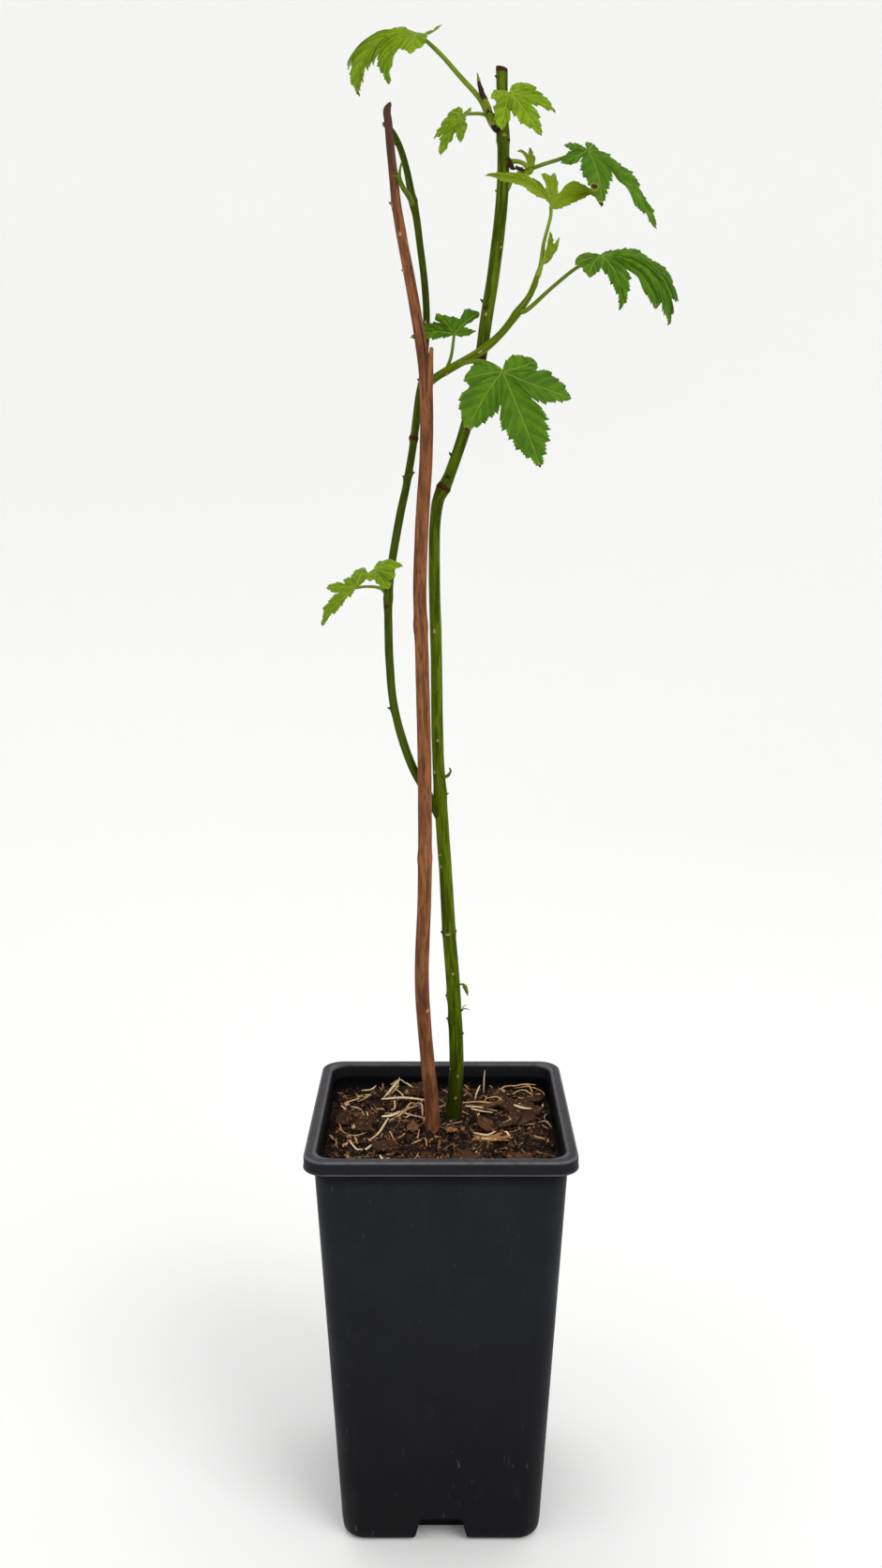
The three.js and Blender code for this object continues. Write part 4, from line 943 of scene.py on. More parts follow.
# Each spray, by its node: the blades and young blades it carries, the kind of its skin, a stalk to
# each blade, bare limbs, and buds with their stations, greenness, green spots and scale length.
SPRAYS = {
    "top_spray": {
        "blades": ["top", "small", "front"], "kind": "fresh",
        "stalks": [
            ("top", [[29, 0, 779, 1.9], [26.7, 2.5, 782, 1.9], [20.4, 7, 795, 1.4], [9.6, 12, 808, 1.3],
                     [-0.2, 17, 820, 1.2], [-8.9, 20.5, 828.5, 1]]),
            ("small", [[29, 0, 779, 1.4], [26, -3.5, 782, 1.3], [22, -5, 784, 0.9], [15, -6, 784, 0.8]]),
            ("front", [[29, 0, 779, 1.6], [27.4, -5, 780, 1.4], [29.6, -10, 784, 1], [33, -14, 788.5, 0.9]]),
        ],
        "limbs": [[[29, 0, 779, 1.6], [26.4, -5, 781.5, 1.4], [25.5, -7, 783, 1], [24, -6, 786, 0.5]],
                  [[27.4, 4, 781, 1.3], [26.4, 0, 781.5, 1.9], [27.4, -5, 781, 1.5]]],
        "buds": [([[26.4, -6.5, 781, 1.0], [24.9, -6, 785.5, 1.4], [23, -4, 790.5, 1.5],
                   [21.1, -2, 795.5, 1.3], [19.7, 0, 801, 0.9], [18.8, 1, 806, 0.3]], 0.15, [0, 8, 25], 6.0),
                 ([[28.6, -4, 775.6, 0.7], [27.4, -4.4, 778, 1.3], [27.2, -4.8, 780.4, 0.8]],
                  0.0, [], 3.0),
                 ([[25.2, -6.6, 784.4, 0.6], [25.4, -7.2, 785.8, 0.8], [25.2, -7.4, 787, 0.3]],
                  1.0, [], 3.0),
                 ([[25.6, -6.6, 781.4, 0.6], [25.4, -7.2, 783, 0.9], [25, -7.4, 784.4, 0.4]],
                  1.0, [], 3.0),
                 ([[27.2, -6, 778.6, 0.6], [26.6, -6.8, 780.2, 0.9], [26.2, -7.2, 781.6, 0.4]],
                  0.8, [], 3.0)],
    },
    "upper_spray": {
        "blades": ["upper"], "kind": "mature",
        "stalks": [("upper", [[34, 0, 749, 1.8], [36.7, 1.5, 753, 1.3], [39.1, 3, 756, 1.2],
                              [51.6, 7, 762, 1.1], [61.7, 11, 766, 1], [71, 13, 769.5, 0.9]])],
    },
    "bud_spray": {
        "young": ["claw"], "kind": "young",
        "stalks": [("claw", [[33, 0, 761, 1.4], [36.5, -2, 761.8, 1.3], [40.5, -3, 761.6, 1.1],
                             [43.5, -4, 760, 1.1]])],
        "limbs": [[[39, -1, 754, 0.7], [41, -1.4, 757, 0.6], [42.8, -2, 759.4, 0.5]]],
        "buds": [([[35.4, -2.6, 763.4, 0.7], [36, -3, 761, 1.2], [37, -3.2, 758.8, 1.1],
                   [38.6, -3.4, 757.6, 0.5]], 0.3, [], 3.0),
                 ([[38.8, -3.6, 758.8, 0.9], [42, -4, 757.2, 0.9], [44.6, -4.2, 755.8, 1.1],
                   [46.4, -4.2, 756.2, 1.2], [48.2, -4, 758.6, 0.6]], 0.35, [8], 6.0)],
    },
    "right_spray": {
        "blades": ["right"], "kind": "mature",
        "stalks": [("right", [[41, -8, 686, 1.2], [44.1, -9.8, 686, 1.2], [58.2, -16.5, 697, 1],
                              [70.1, -22, 705.5, 0.9]])],
    },
    "tip_spray": {
        "young": ["young", "bract"], "kind": "young",
        "stalks": [("young", [[50.6, -8, 703.5, 1.4], [52.3, -7.6, 709, 1.3], [53.7, -7.4, 720, 1],
                              [57.2, -8, 734, 0.9]])],
        "limbs": [[[51.8, -7.8, 707, 1], [52.7, -7, 709.5, 0.9], [53.4, -7, 712, 0.4]]],
    },
    "broad_leaf": {
        "blades": ["broad"], "kind": "mature",
        "stalks": [("broad", [[8, -4.4, 659.4, 1.2], [11, -8, 659.6, 1.2], [16, -13.5, 659.8, 1],
                              [20.4, -18, 659.6, 1], [27, -22.5, 657, 0.9]])],
    },
    "low_leaf": {
        "blades": ["low"], "kind": "mature",
        "stalks": [("low", [[0.6, -1.2, 655.4, 1.2], [2.6, 0.5, 657.5, 1], [5.3, 2.2, 664, 0.9],
                            [6.6, 2.9, 672, 0.8]])],
    },
    "left_spray": {
        "blades": ["long", "wide"], "kind": "fresh",
        "stalks": [("long", [[-29, 0, 536.5, 1.2], [-31.3, 2, 540, 1.1], [-35.5, 5, 541.8, 0.9],
                             [-42.7, 9, 542, 0.8]]),
                   ("wide", [[-31.5, 1.6, 539.6, 0.9], [-32.6, -3, 542.5, 0.9], [-34.4, -7.5, 548, 0.8]])],
    },
    "left_bud": {
        "kind": "bud",
        "limbs": [[[-13.2, 4.8, 736, 1.2], [-14.6, 3.2, 740.8, 1.5], [-17, -3.5, 744.6, 1.4],
                   [-19.6, -9, 747.2, 1.3], [-21.2, -12, 750.2, 1.25], [-21.4, -12.8, 752.6, 0.9],
                   [-20.9, -13, 756, 0.6], [-20, -13, 759.5, 0.4]],
                  [[-21.3, -12.2, 749.8, 1.1], [-22, -13, 751.3, 0.9], [-23.8, -13.4, 752, 0.45],
                   [-26.2, -13.6, 751.8, 0.25]]],
    },
}


def foliage():
    """Every spray's blades, buds and stalks, each in its own finish."""
    tissues = {
        "mature": leaf_tissue("mature_leaf", "#40660a", "#345606", "#588112", "#879c38", "#7d9650"),
        "fresh": leaf_tissue("fresh_leaf", "#6a8a08", "#527206", "#82a014", "#a3b043", "#8aa058"),
        "young": leaf_tissue("young_leaf", "#7b9006", "#5f7405", "#90a314", "#a3ad3c", "#93a445"),
    }
    skins = {
        "mature": petiole_skin("petiole_skin", "#677c18", "#526812"),
        "fresh": petiole_skin("fresh_petiole_skin", "#75891c", "#5c7014"),
        "young": petiole_skin("young_petiole_skin", "#7c8f22", "#627818"),
        "bud": petiole_skin("bud_stalk_skin", "#5a6c0c", "#425006"),
    }
    scales = bud_scales()
    for number, (node, spray) in enumerate(SPRAYS.items()):
        seed = 20 + 5 * number
        kind = spray["kind"]
        for part, names, first, finish, slot in (
                ("leaves", spray.get("blades"), seed, kind, "leaf"),
                ("young_leaves", spray.get("young"), seed + 3, "young", "young_leaf")):
            if names:
                blades = merged([leaf_blade(LEAF[name], first + k) for k, name in enumerate(names)])
                finished(bare_mesh(f"{node}_{part}", blades, [tissues[finish]], 55), slot, node)
        stalks = [stalk(stations, LEAF[name], seed + k)
                  for k, (name, stations) in enumerate(spray.get("stalks", ()))]
        stalks += [tube(limb, 14, 0.7, (), (3, 0.05), 0.5, seed=seed) for limb in spray.get("limbs", ())]
        if "buds" in spray:
            buds = merged([scaled_bud(*bud, seed=seed + k) for k, bud in enumerate(spray["buds"])])
            finished(bare_mesh(f"{node}_buds", buds, [scales], 30), "young_leaf", node)
        finished(bare_mesh(f"{node}_stalks", merged(stalks), [skins[kind]]), "green_cane", node)


# The pot.

def squared_ring(half, corner, height, straight=10, steps=14):
    """A ring of points round a rounded square."""
    points = []
    for quarter in range(4):
        turn = quarter * math.pi / 2
        inner = half - corner
        ring = [(half, -inner + 2 * inner * k / straight) for k in range(straight)]
        ring += [(inner + corner * math.cos(math.pi / 2 * k / steps),
                  inner + corner * math.sin(math.pi / 2 * k / steps)) for k in range(steps)]
        points += [(x * math.cos(turn) - y * math.sin(turn), x * math.sin(turn) + y * math.cos(turn), height)
                   for x, y in ring]
    return points


def stacked(levels):
    """A closed solid through rounded squares, each [half width, corner radius, height]."""
    rings = [squared_ring(*level) for level in levels]
    ends = [(0, 0, levels[0][2]), (0, 0, levels[-1][2])]
    return {"points": [point for ring in rings for point in ring] + ends,
            "faces": lidded_faces(len(rings), len(rings[0]))}


def half_at(height):
    """Half the body's width at a height."""
    return (BODY_FOOT + (BODY_TOP - BODY_FOOT) * height / POT_HEIGHT) / 2


def arc(half, height, radius, start, end, steps=5):
    """Levels round an edge: the square's half width and height on a quarter circle."""
    turns = np.radians(np.linspace(start, end, steps))
    return [(half + radius * math.cos(a), height + radius * math.sin(a)) for a in turns]


def notch_block(grow, turn):
    """The foot's notch as a solid, to cut or to line, on one side of the pot."""
    low, high, tall = NOTCH_LOW / 2 + grow, NOTCH_HIGH / 2 + grow, NOTCH_TALL + grow
    right = [(low + 5, -5), (low + 5, 0), (low + 3.2, 0.4), (low + 1.7, 1.2), (low + 0.6, 2.5),
             (low - 0.1, 4.3), (high + 1.7, tall - 3.5), (high + 1.2, tall - 1.9), (high + 0.1, tall - 0.7),
             (high - 1.4, tall - 0.1), (high - 3, tall)]
    outline = right + [(-x, z) for x, z in right[::-1]]
    count = len(outline)
    cos, sin = math.cos(turn), math.sin(turn)
    points = [(x * cos - y * sin, x * sin + y * cos, z)
              for y in (-BODY_FOOT / 2 - 10, -BODY_FOOT / 2 + NOTCH_DEEP + grow) for x, z in outline]
    faces = [list(range(count)), list(range(2 * count - 1, count - 1, -1))]
    faces += [[(k + 1) % count, k, count + k, count + (k + 1) % count] for k in range(count)]
    return {"points": points, "faces": faces}


def drain_rod(x, y):
    """A rod to cut one drain hole."""
    sides = 32
    turns = np.linspace(0, 2 * math.pi, sides, endpoint=False)
    points = [(x + DRAIN_RADIUS * math.cos(a), y + DRAIN_RADIUS * math.sin(a), z)
              for z in (-6, 8) for a in turns]
    ends = [list(range(sides - 1, -1, -1)), list(range(sides, 2 * sides))]
    return {"points": points, "faces": ends + ring_faces(2, sides)}


def applied(piece):
    """Replaces a piece's mesh with what its modifiers make of it, and removes them."""
    graph = bpy.context.evaluated_depsgraph_get()
    mesh = bpy.data.meshes.new_from_object(piece.evaluated_get(graph))
    piece.modifiers.clear()
    piece.data = mesh


def carved(piece, tool):
    """Cuts a tool out of a piece, and is then done with the tool."""
    boolean = piece.modifiers.new("carve", "BOOLEAN")
    boolean.object = tool
    boolean.operation = "DIFFERENCE"
    boolean.solver = "MANIFOLD"
    applied(piece)
    bpy.data.objects.remove(tool)


def pot():
    """The nursery pot: a tapering square body, a rim band turned over at the top, a notched foot."""
    shoulder = POT_HEIGHT - RIM_DEPTH
    rim = RIM_WIDTH / 2
    foot = [(half, CORNER - (half_at(0) - half) * 2 / 3, z)
            for half, z in arc(half_at(0) - FOOT_ROUND, FOOT_ROUND, FOOT_ROUND, -90, -8, 8)]
    wall = [(half_at(z), CORNER, z) for z in np.linspace(8, shoulder - 6, 12)]
    under = [(half_at(shoulder), CORNER, shoulder - 0.6), (half_at(shoulder) + 0.3, CORNER, shoulder - 0.1),
             (rim - 1.1, CORNER, shoulder)]
    # The band's lower edge is a small bead that stands out from its face.
    bead = arc(rim - BEAD_ROUND, shoulder + 0.7, BEAD_ROUND, -80, 60, 6)
    lip = arc(rim - LIP_ROUND - 0.3, POT_HEIGHT - LIP_ROUND, LIP_ROUND, 0, 90, 7)
    band = [(half, CORNER - (rim - half) * 0.8, z) for half, z in bead + lip]
    body = bare_mesh("moulded_pot", stacked(foot + wall + under + band), crease=35)

    inside = half_at(POT_HEIGHT) - WALL
    hollow = [(half_at(FLOOR) - WALL - 3, FLOOR), (half_at(FLOOR + 3) - WALL, FLOOR + 3)]
    hollow += [(half_at(z) - WALL, z) for z in np.linspace(8, POT_HEIGHT - 4, 12)]
    hollow += [(inside + LIP_ROUND * (1 - math.cos(a)), POT_HEIGHT - LIP_ROUND * (1 - math.sin(a)))
               for a in np.radians((0, 22, 45, 68, 90))] + [(inside + 3.5, POT_HEIGHT + 2)]
    room = bare_mesh("room", stacked([(half, CORNER - WALL, z) for half, z in hollow]))
    for k in range(4):
        carved(room, bare_mesh("notch", notch_block(WALL, k * math.pi / 2)))
    carved(body, room)

    # Under the rim band there is a groove, so that the band is a turned-over skirt.
    outer = [(rim - WALL - 0.6, CORNER, shoulder - 1), (rim - WALL, CORNER, POT_HEIGHT - WALL)]
    inner = [(half_at(shoulder) + 0.2, CORNER, shoulder - 2), (half_at(shoulder) + 0.6, CORNER, POT_HEIGHT)]
    groove = bare_mesh("groove", stacked(outer))
    carved(groove, bare_mesh("core", stacked(inner)))
    carved(body, groove)

    for k in range(4):
        carved(body, bare_mesh("notch", notch_block(0, k * math.pi / 2)))
    for x in (-DRAIN_AT, DRAIN_AT):
        for y in (-DRAIN_AT, DRAIN_AT):
            carved(body, bare_mesh("drain", drain_rod(x, y)))
    body.data.materials.clear()
    body.data.materials.append(moulded_polypropylene())
    body.data.shade_smooth()
    body.data.set_sharp_from_angle(angle=math.radians(32))
    finished(body, "pot_plastic", "pot")


# What fills the pot. The rings of its surface, the points on each straight, half its foot's
# width, where the two canes stand in it, and how far litter stays from them and from the wall
# before it thickens over a few millimetres.
RINGS = 66
STRAIGHT = 44
PLUG = 37.4
FEET = [(7.6, 13), (-4.8, -3)]
CANE_ROOM = 6
WALL_ROOM = 3
THICKENING = 4


def near_cane(x, y):
    """How far a spot is from the nearer cane."""
    return min(math.hypot(x - a, y - b) for a, b in FEET)


def soil_height(x, y, share=0):
    """The compost's surface: lumpy, a little heaped round the stems and sunk at the wall.

    Its lumps are about 17 mm across, its clods 7 and 3 mm and its crumbs 1.3 mm.
    """
    spot = Vector((x, y, 3.7))
    lumps = noise.noise(spot / 17) * 2.6 - 2.2 * max(0, math.hypot(x, y) / 62 - 0.75)
    clods = 4.6 * abs(noise.noise(spot / 7)) + 2.4 * abs(noise.noise(spot / 3)) - 2.2
    crumbs = noise.noise(spot / 1.3) * 0.4
    heap = math.exp(-(near_cane(x, y) / 9) ** 2)
    return SOIL_TOP - 0.4 + lumps + clods + crumbs + heap - 2.6 * share ** 10


def fill_shape():
    """The fill as one closed solid, with its surface in rings and its foot clear of the notches."""
    inset = WALL + GAP
    step = NOTCH_TALL + WALL + 1
    levels = [(PLUG, CORNER - 4, FLOOR + GAP), (PLUG, CORNER - 4, step)]
    levels += [(half_at(z) - inset, CORNER - inset, z) for z in (step + 0.1, 80, 150, SOIL_TOP - 8)]
    rings = [squared_ring(*level, STRAIGHT) for level in levels]
    edge = half_at(SOIL_TOP) - inset
    border = squared_ring(edge, CORNER - inset, 0, STRAIGHT)
    for k in range(RINGS, 0, -1):
        s = k / RINGS
        rings.append([(x * s, y * s, soil_height(x * s, y * s, s)) for x, y, _ in border])
    ends = [(0, 0, levels[0][2]), (0, 0, soil_height(0, 0))]
    points = np.array([point for ring in rings for point in ring] + ends, float)
    # Litter has room on the surface, away from the canes and the wall, and lies in patches.
    number = np.arange(len(points))
    surface = (number >= len(levels) * len(border)) & (number != len(points) - 2)
    near = np.array([near_cane(x, y) for x, y, _ in points])
    reach = np.abs(points[:, :2]).max(1)
    room = (np.clip((near - CANE_ROOM) / THICKENING, 0, 1)
            * np.clip((edge - WALL_ROOM - reach) / THICKENING, 0, 1))
    patches = [min(max(0.7 + 2 * noise.noise(Vector((x, y, 8.1)) / 6), 0.1), 1.6) for x, y, _ in points]
    return {"points": points, "faces": lidded_faces(len(rings), len(border)),
            "marks": {"room": room * surface * patches}}


# What lies on the compost, in millimetres. Each straw is its spots [x, y, lift], its
# thickness and its tone; each shard of bark is its corners, thickness, lift and tone.
STRAWS = [
    [[[-36.6, 39.1, 2.6], [-23.3, 38.3, 2.7], [-8.9, 35.3, 2.6]], 1.25, 0.92],
    [[[-23, 38.5, 3.2], [-25, 44, 3.6], [-29, 53, 3]], 0.4, 0.9],
    [[[-28.5, 33, 2], [-28, 27, 2.2], [-30, 19, 2.4]], 0.6, 0.75],
    [[[-35.5, 13.3, 2], [-30, 15.5, 2.2], [-24.6, 20.3, 2.4]], 1.5, 0.85],
    [[[-31.3, 5.8, 2], [-36.3, -7, 2.2], [-41.5, -17.4, 1.6]], 0.75, 0.8],
    [[[-28, 14, 1.6], [-23, 22, 3.2], [-17, 26, 3.6]], 0.7, 0.6],
    [[[-26, 12, 1.6], [-20, 20, 3.4], [-12.5, 25, 3]], 0.65, 0.8],
    [[[-24, 17, 2.6], [-17.5, 13, 2.2], [-10.5, 9, 1.8]], 0.9, 0.7],
    [[[-22, 15, 2.6], [-18, 22, 4.2], [-14, 24, 4]], 0.8, 0.5],
    [[[-17, 28, 3], [-12, 21, 3.6], [-11, 13, 2.4]], 0.7, 0.65],
    [[[-22, 5, 2], [-20.5, 10, 2.4], [-18, 15, 2.8]], 0.5, 0.9],
    [[[-34, 20, 2], [-28, 21, 2.4], [-22, 20, 2.6]], 0.6, 0.6],
    [[[-34, 45, 1.4], [-29.7, 54, 3.4], [-26, 65, 5]], 0.7, 0.85],
    [[[-33, 48, 1.6], [-28, 52, 3.2], [-26.2, 62, 5.2]], 0.5, 0.65],
    [[[-36, 42, 1.2], [-33, 52, 2.4], [-28, 60, 3.8]], 0.45, 0.95],
    [[[-32, 62, 2.5], [-26, 63, 4], [-22, 58, 3]], 0.5, 0.8],
    [[[-22, 61, 3.4], [-18, 56, 3], [-15, 54, 2.4]], 0.6, 0.9],
    [[[-13, 60, 3.4], [-11.5, 58, 3.2], [-10.8, 55, 3]], 0.9, 0.95],
    [[[-53, 42, 1.4], [-48.9, 50, 2.4], [-44.3, 53, 2.2]], 0.8, 0.85],
    [[[-52.8, 49.5, 1.4], [-47.8, 45, 2.2], [-43.3, 46, 2]], 0.6, 0.7],
    [[[-50, 56, 1.2], [-44, 58, 2.2], [-41, 62, 2.8]], 0.7, 0.95],
    [[[-51, 36, 1.4], [-46, 40, 1.8], [-45, 46, 2]], 0.5, 0.6],
    [[[-58, 37, 1], [-54, 39, 1.6], [-50, 38, 1.4]], 0.8, 0.8],
    [[[-55, 30, 1.2], [-52, 26, 1.8], [-48, 26, 1.6]], 0.6, 0.95],
    [[[-61, 30, 1], [-59, 27, 1.6], [-57, 21, 1.4]], 0.6, 0.9],
    [[[-46, 24, 1.4], [-44, 14, 1.8], [-43, 4, 1.4]], 0.35, 0.9],
    [[[-46.7, -35.1, 1.6], [-42.9, -29, 2.4], [-38.8, -23.8, 2]], 1.0, 0.85],
    [[[-52, -26, 1.4], [-49, -30, 2], [-46.5, -37, 1.6]], 0.6, 0.95],
    [[[-54, -11, 1.4], [-48, -11, 1.8], [-43, -6, 1.6]], 0.45, 0.7],
    [[[-60, 2, 1.2], [-57, -6, 1.6], [-52, -9, 1.4]], 0.4, 0.5],
    [[[-30, -8, 1.4], [-28, -16, 1.8], [-27, -24, 1.4]], 0.5, 0.55],
    [[[-34, -45, 1.2], [-32, -49, 1.8], [-30, -54, 1.2]], 0.8, 0.9],
    [[[-22, -47, 1.2], [-19, -51, 1.6], [-15, -52, 1.4]], 0.6, 0.8],
    [[[-12, -20, 1.6], [-9, -24, 2], [-8, -30, 1.6]], 0.45, 0.6],
    [[[26.8, 57.1, 0], [27, 58.5, 7], [27.6, 60.5, 15]], 0.55, 0.75],
    [[[20.8, 40.5, 0.6], [22.4, 43, 5], [24.2, 46.5, 9]], 0.5, 1.0],
    [[[29.5, 53, 0.8], [32, 56, 2.6], [30.5, 60, 4.5]], 0.5, 0.5],
    [[[13.3, 34, 2.4], [24, 32.5, 3], [36, 28, 2.2]], 1.0, 0.6],
    [[[14.5, 28, 2.8], [24, 25.5, 3.2], [34, 20, 2]], 0.9, 0.85],
    [[[18, 22, 2.6], [24, 20, 3], [31, 15, 2.2]], 0.8, 0.85],
    [[[28, 37, 2.4], [34, 38, 3], [38, 33, 2.8], [41, 26, 2.2]], 0.6, 0.7],
    [[[44, 23, 4.4], [49, 19, 4.8], [54, 14.5, 4.4]], 1.2, 0.9],
    [[[43, 26, 4.2], [48, 24, 4.8], [52, 19, 4.6]], 0.6, 0.8],
    [[[57, 27, 3.2], [61, 25, 3.4], [62, 30, 3.4]], 0.7, 0.85],
    [[[36.5, 44, 1.6], [37.5, 52, 3.4], [42, 56, 4], [49, 57, 3.6]], 0.55, 0.7],
    [[[45, 60, 2.6], [52, 61, 3.6], [60, 62, 3]], 0.7, 0.7],
    [[[46, 54, 3], [54, 52, 3.6], [61, 50, 2.6]], 0.5, 0.5],
    [[[50, 63, 3], [55, 57, 4], [57, 48, 3]], 0.6, 0.6],
    [[[44, 49, 2], [51, 50, 3.2], [58, 44, 2.8]], 0.5, 0.75],
    [[[58, 58, 2.8], [63, 52, 3], [64, 43, 2.4]], 0.5, 0.55],
    [[[40, 62, 3], [42, 58, 3.6], [45, 56, 3.2]], 0.8, 0.3],
    [[[57, 8, 1.6], [62, 4, 2], [65, -1, 1.4]], 0.6, 0.7],
    [[[36, -12, 2.8], [38, -16, 3.4], [40, -20.5, 2.6]], 0.7, 0.95],
    [[[19, -9, 2.6], [27, -10, 3], [32, -8.5, 2.8]], 0.9, 0.9],
    [[[20.5, -15, 2.2], [30, -19, 2.6], [39, -21, 2.2]], 1.0, 0.8],
    [[[11, -37, 2.4], [17, -41, 2.8], [22, -48, 2.2]], 0.8, 0.6],
    [[[46, -38, 2], [49, -42, 2.4], [50, -50, 1.8]], 0.5, 0.7],
]
SHARDS = [
    [[[37.2, 29], [45.1, -7.5], [61.5, 16], [52, 27]], 1.6, 2.4, 0.4],
    [[[30.1, 52], [31, 42], [40, 40], [41, 46], [36, 51]], 1.5, 1.8, 0.42],
    [[[13.9, 38], [16, 30], [34, 19], [39, 26], [28, 36]], 1.8, 1, 0.64],
    [[[22, 10.5], [21, 2], [27, -5], [33, -2], [30, 8]], 1.6, 1.8, 0.61],
    [[[33, 6.5], [34, -3], [43, -1], [42, 5]], 1.3, 1.4, 0.56],
    [[[19.5, -8], [20, -17], [30, -21], [40, -21.5], [38.5, -11]], 1.3, 1.2, 0.89],
    [[[7.5, -33], [6, -45], [14, -52], [23.6, -47], [17, -36]], 1.6, 1.6, 0.56],
    [[[37.3, -38.6], [36, -48], [44, -52], [52.1, -48], [50, -39]], 1.4, 1.6, 0.58],
    [[[-22, 62], [-24, 48], [-12, 44], [-9, 60]], 1.6, 1.4, 0.37],
    [[[-17, 4], [-20, -6], [-16, -14], [-12.5, -3]], 1.2, 1.8, 0.68],
    [[[3.6, -3.5], [3, -10], [6.8, -15], [9.6, -9], [7, -4]], 1.4, 1.8, 0.91],
    [[[-62, 18], [-62, 4], [-54, 3], [-53, 20]], 1.6, 1.4, 0.36],
    [[[-50, 11], [-50, -7], [-41, -8], [-39, 10]], 1.6, 1.5, 0.39],
    [[[-40, -22], [-36, -36], [-22, -33], [-27, -20]], 1.6, 1.3, 0.42],
    [[[54, 46], [50, 38], [60, 34], [64, 44]], 1.3, 1.6, 0.49],
    [[[-10, -38], [-12, -48], [-2, -50], [1, -40]], 1.4, 1.3, 0.45],
]


def straw_bit(spots, thick, sides=6):
    """A split straw through its spots, thinning to ragged ends."""
    centres, _, _, reach = bent([[*spot, 1] for spot in spots], 1.5)
    swell = np.interp(reach / reach[-1], (0, 0.1, 0.5, 0.85, 1), (0.5, 0.9, 1.0, 0.8, 0.35))
    step = max(1, len(centres) // 6)
    kept = sorted({*range(0, len(centres), step), len(centres) - 1})
    shape = tube([[*centres[k], thick * swell[k] / 2] for k in kept], sides, 1.6)
    # It is flatter than it is wide.
    rings = shape["points"][:-2].reshape(-1, sides, 3)
    rings[..., 2] = 0.45 * rings[..., 2] + 0.55 * rings[..., 2].mean(1)[:, None]
    return shape


# How far a torn edge strays, as a share of its length; how a flake curls up, by its distance from
# its middle squared; and a crumb's radius in millimetres.
RAGGED = 0.08
CURL = 0.012
CRUMB = 0.9


def bark_bit(corners, thick, rng, height=0.0, lean=0.0, fine=1):
    """A torn flake of bark between its corners, ragged at the edges and ridged along the grain."""
    middle = np.mean(corners, axis=0)
    steps = 3 + 2 * fine
    ring = []
    for k, (x0, y0) in enumerate(corners):
        x1, y1 = corners[(k + 1) % len(corners)]
        ragged = RAGGED * math.hypot(x1 - x0, y1 - y0)
        for f in np.arange(steps) / steps:
            wild = ragged if f else 0.3 * ragged
            ring.append([x0 + (x1 - x0) * f + rng.uniform(-wild, wild),
                         y0 + (y1 - y0) * f + rng.uniform(-wild, wild)])
    ring = np.array(ring) - middle
    count = len(ring)
    long = ring[np.argmax(np.hypot(*ring.T))]
    long /= np.hypot(*long)
    tilt = (rng.uniform(-lean, lean), rng.uniform(-lean, lean))
    seed = rng.uniform(0, 50)
    inner = (0.08, 0.25, 0.45, 0.65, 0.85) if fine > 1 else (0.1, 0.6)
    levels = [(s, -0.5) for s in inner] + [(1.0, -0.2), (0.99, 0.25)] + [(s, 0.5) for s in inner[::-1]]
    # Ridges run along the flake's longest reach, some 7 mm long and 0.9 mm apart, under finer ones.
    points = []
    for scale, level in levels:
        for x, y in ring * scale:
            along, across = x * long[0] + y * long[1], y * long[0] - x * long[1]
            ridge = noise.noise(Vector((along / 7, across / 0.9, seed)))
            ridge += 0.4 * noise.noise(Vector((along / 1.5, across / 1.1, seed + 9)))
            curl = CURL * (x * x + y * y) if fine > 1 else 0
            z = height + thick * (level + 0.55 * ridge) + tilt[0] * x + tilt[1] * y + curl
            points.append((middle[0] + x, middle[1] + y, z))
    rows = len(levels)
    ends = [list(range(count - 1, -1, -1)), list(range((rows - 1) * count, rows * count))]
    return {"points": points, "faces": ring_faces(rows, count) + ends}


def litter_bits(kind, amount, rng):
    """Small shapes to scatter, each lying along X: bark chips, straw slivers, fibres or crumbs."""
    bits = bpy.data.collections.new(kind)
    for _ in range(amount):
        if kind == "crumb":
            mesh = bpy.data.meshes.new(kind)
            form = bmesh.new()
            bmesh.ops.create_icosphere(form, subdivisions=1, radius=CRUMB * MM)
            for vertex in form.verts:
                vertex.co *= rng.uniform(0.5, 1.35)
                vertex.co.z *= 0.8
            form.to_mesh(mesh)
            form.free()
            bit = put(kind, mesh)
        elif kind == "chip":
            # Here and below, long, wide and thick are half measures in millimetres.
            long, wide = rng.uniform(2.2, 5.5), rng.uniform(0.5, 1.8)
            turns = sorted(rng.uniform(0, 2 * math.pi) for _ in range(5))
            corners = [(long * math.cos(a), wide * math.sin(a)) for a in turns]
            bit = bare_mesh(kind, bark_bit(corners, rng.uniform(0.5, 1.1), rng), crease=30)
        else:
            long, thick = rng.uniform(2.5, 7), rng.uniform(0.35, 0.8)
            if kind == "fibre":
                long, thick = rng.uniform(5, 11), 0.2
            bow = rng.uniform(-0.35, 0.35) * long
            form = straw_bit([(-long, 0, 0), (rng.uniform(-0.3, 0.3) * long, bow, 0.3),
                              (long, 0, rng.uniform(-0.4, 0.6))], 2 * thick, 5 if kind == "straw" else 3)
            bit = bare_mesh(kind, {"points": form["points"], "faces": form["faces"]}, crease=50)
        bpy.context.scene.collection.objects.unlink(bit)
        bits.objects.link(bit)
    return bits


def laid(shape, tone):
    """A placed bit without its stem's own marks, in one tone."""
    return {"points": shape["points"], "faces": shape["faces"],
            "marks": {"tone": np.full(len(shape["points"]), tone)}}


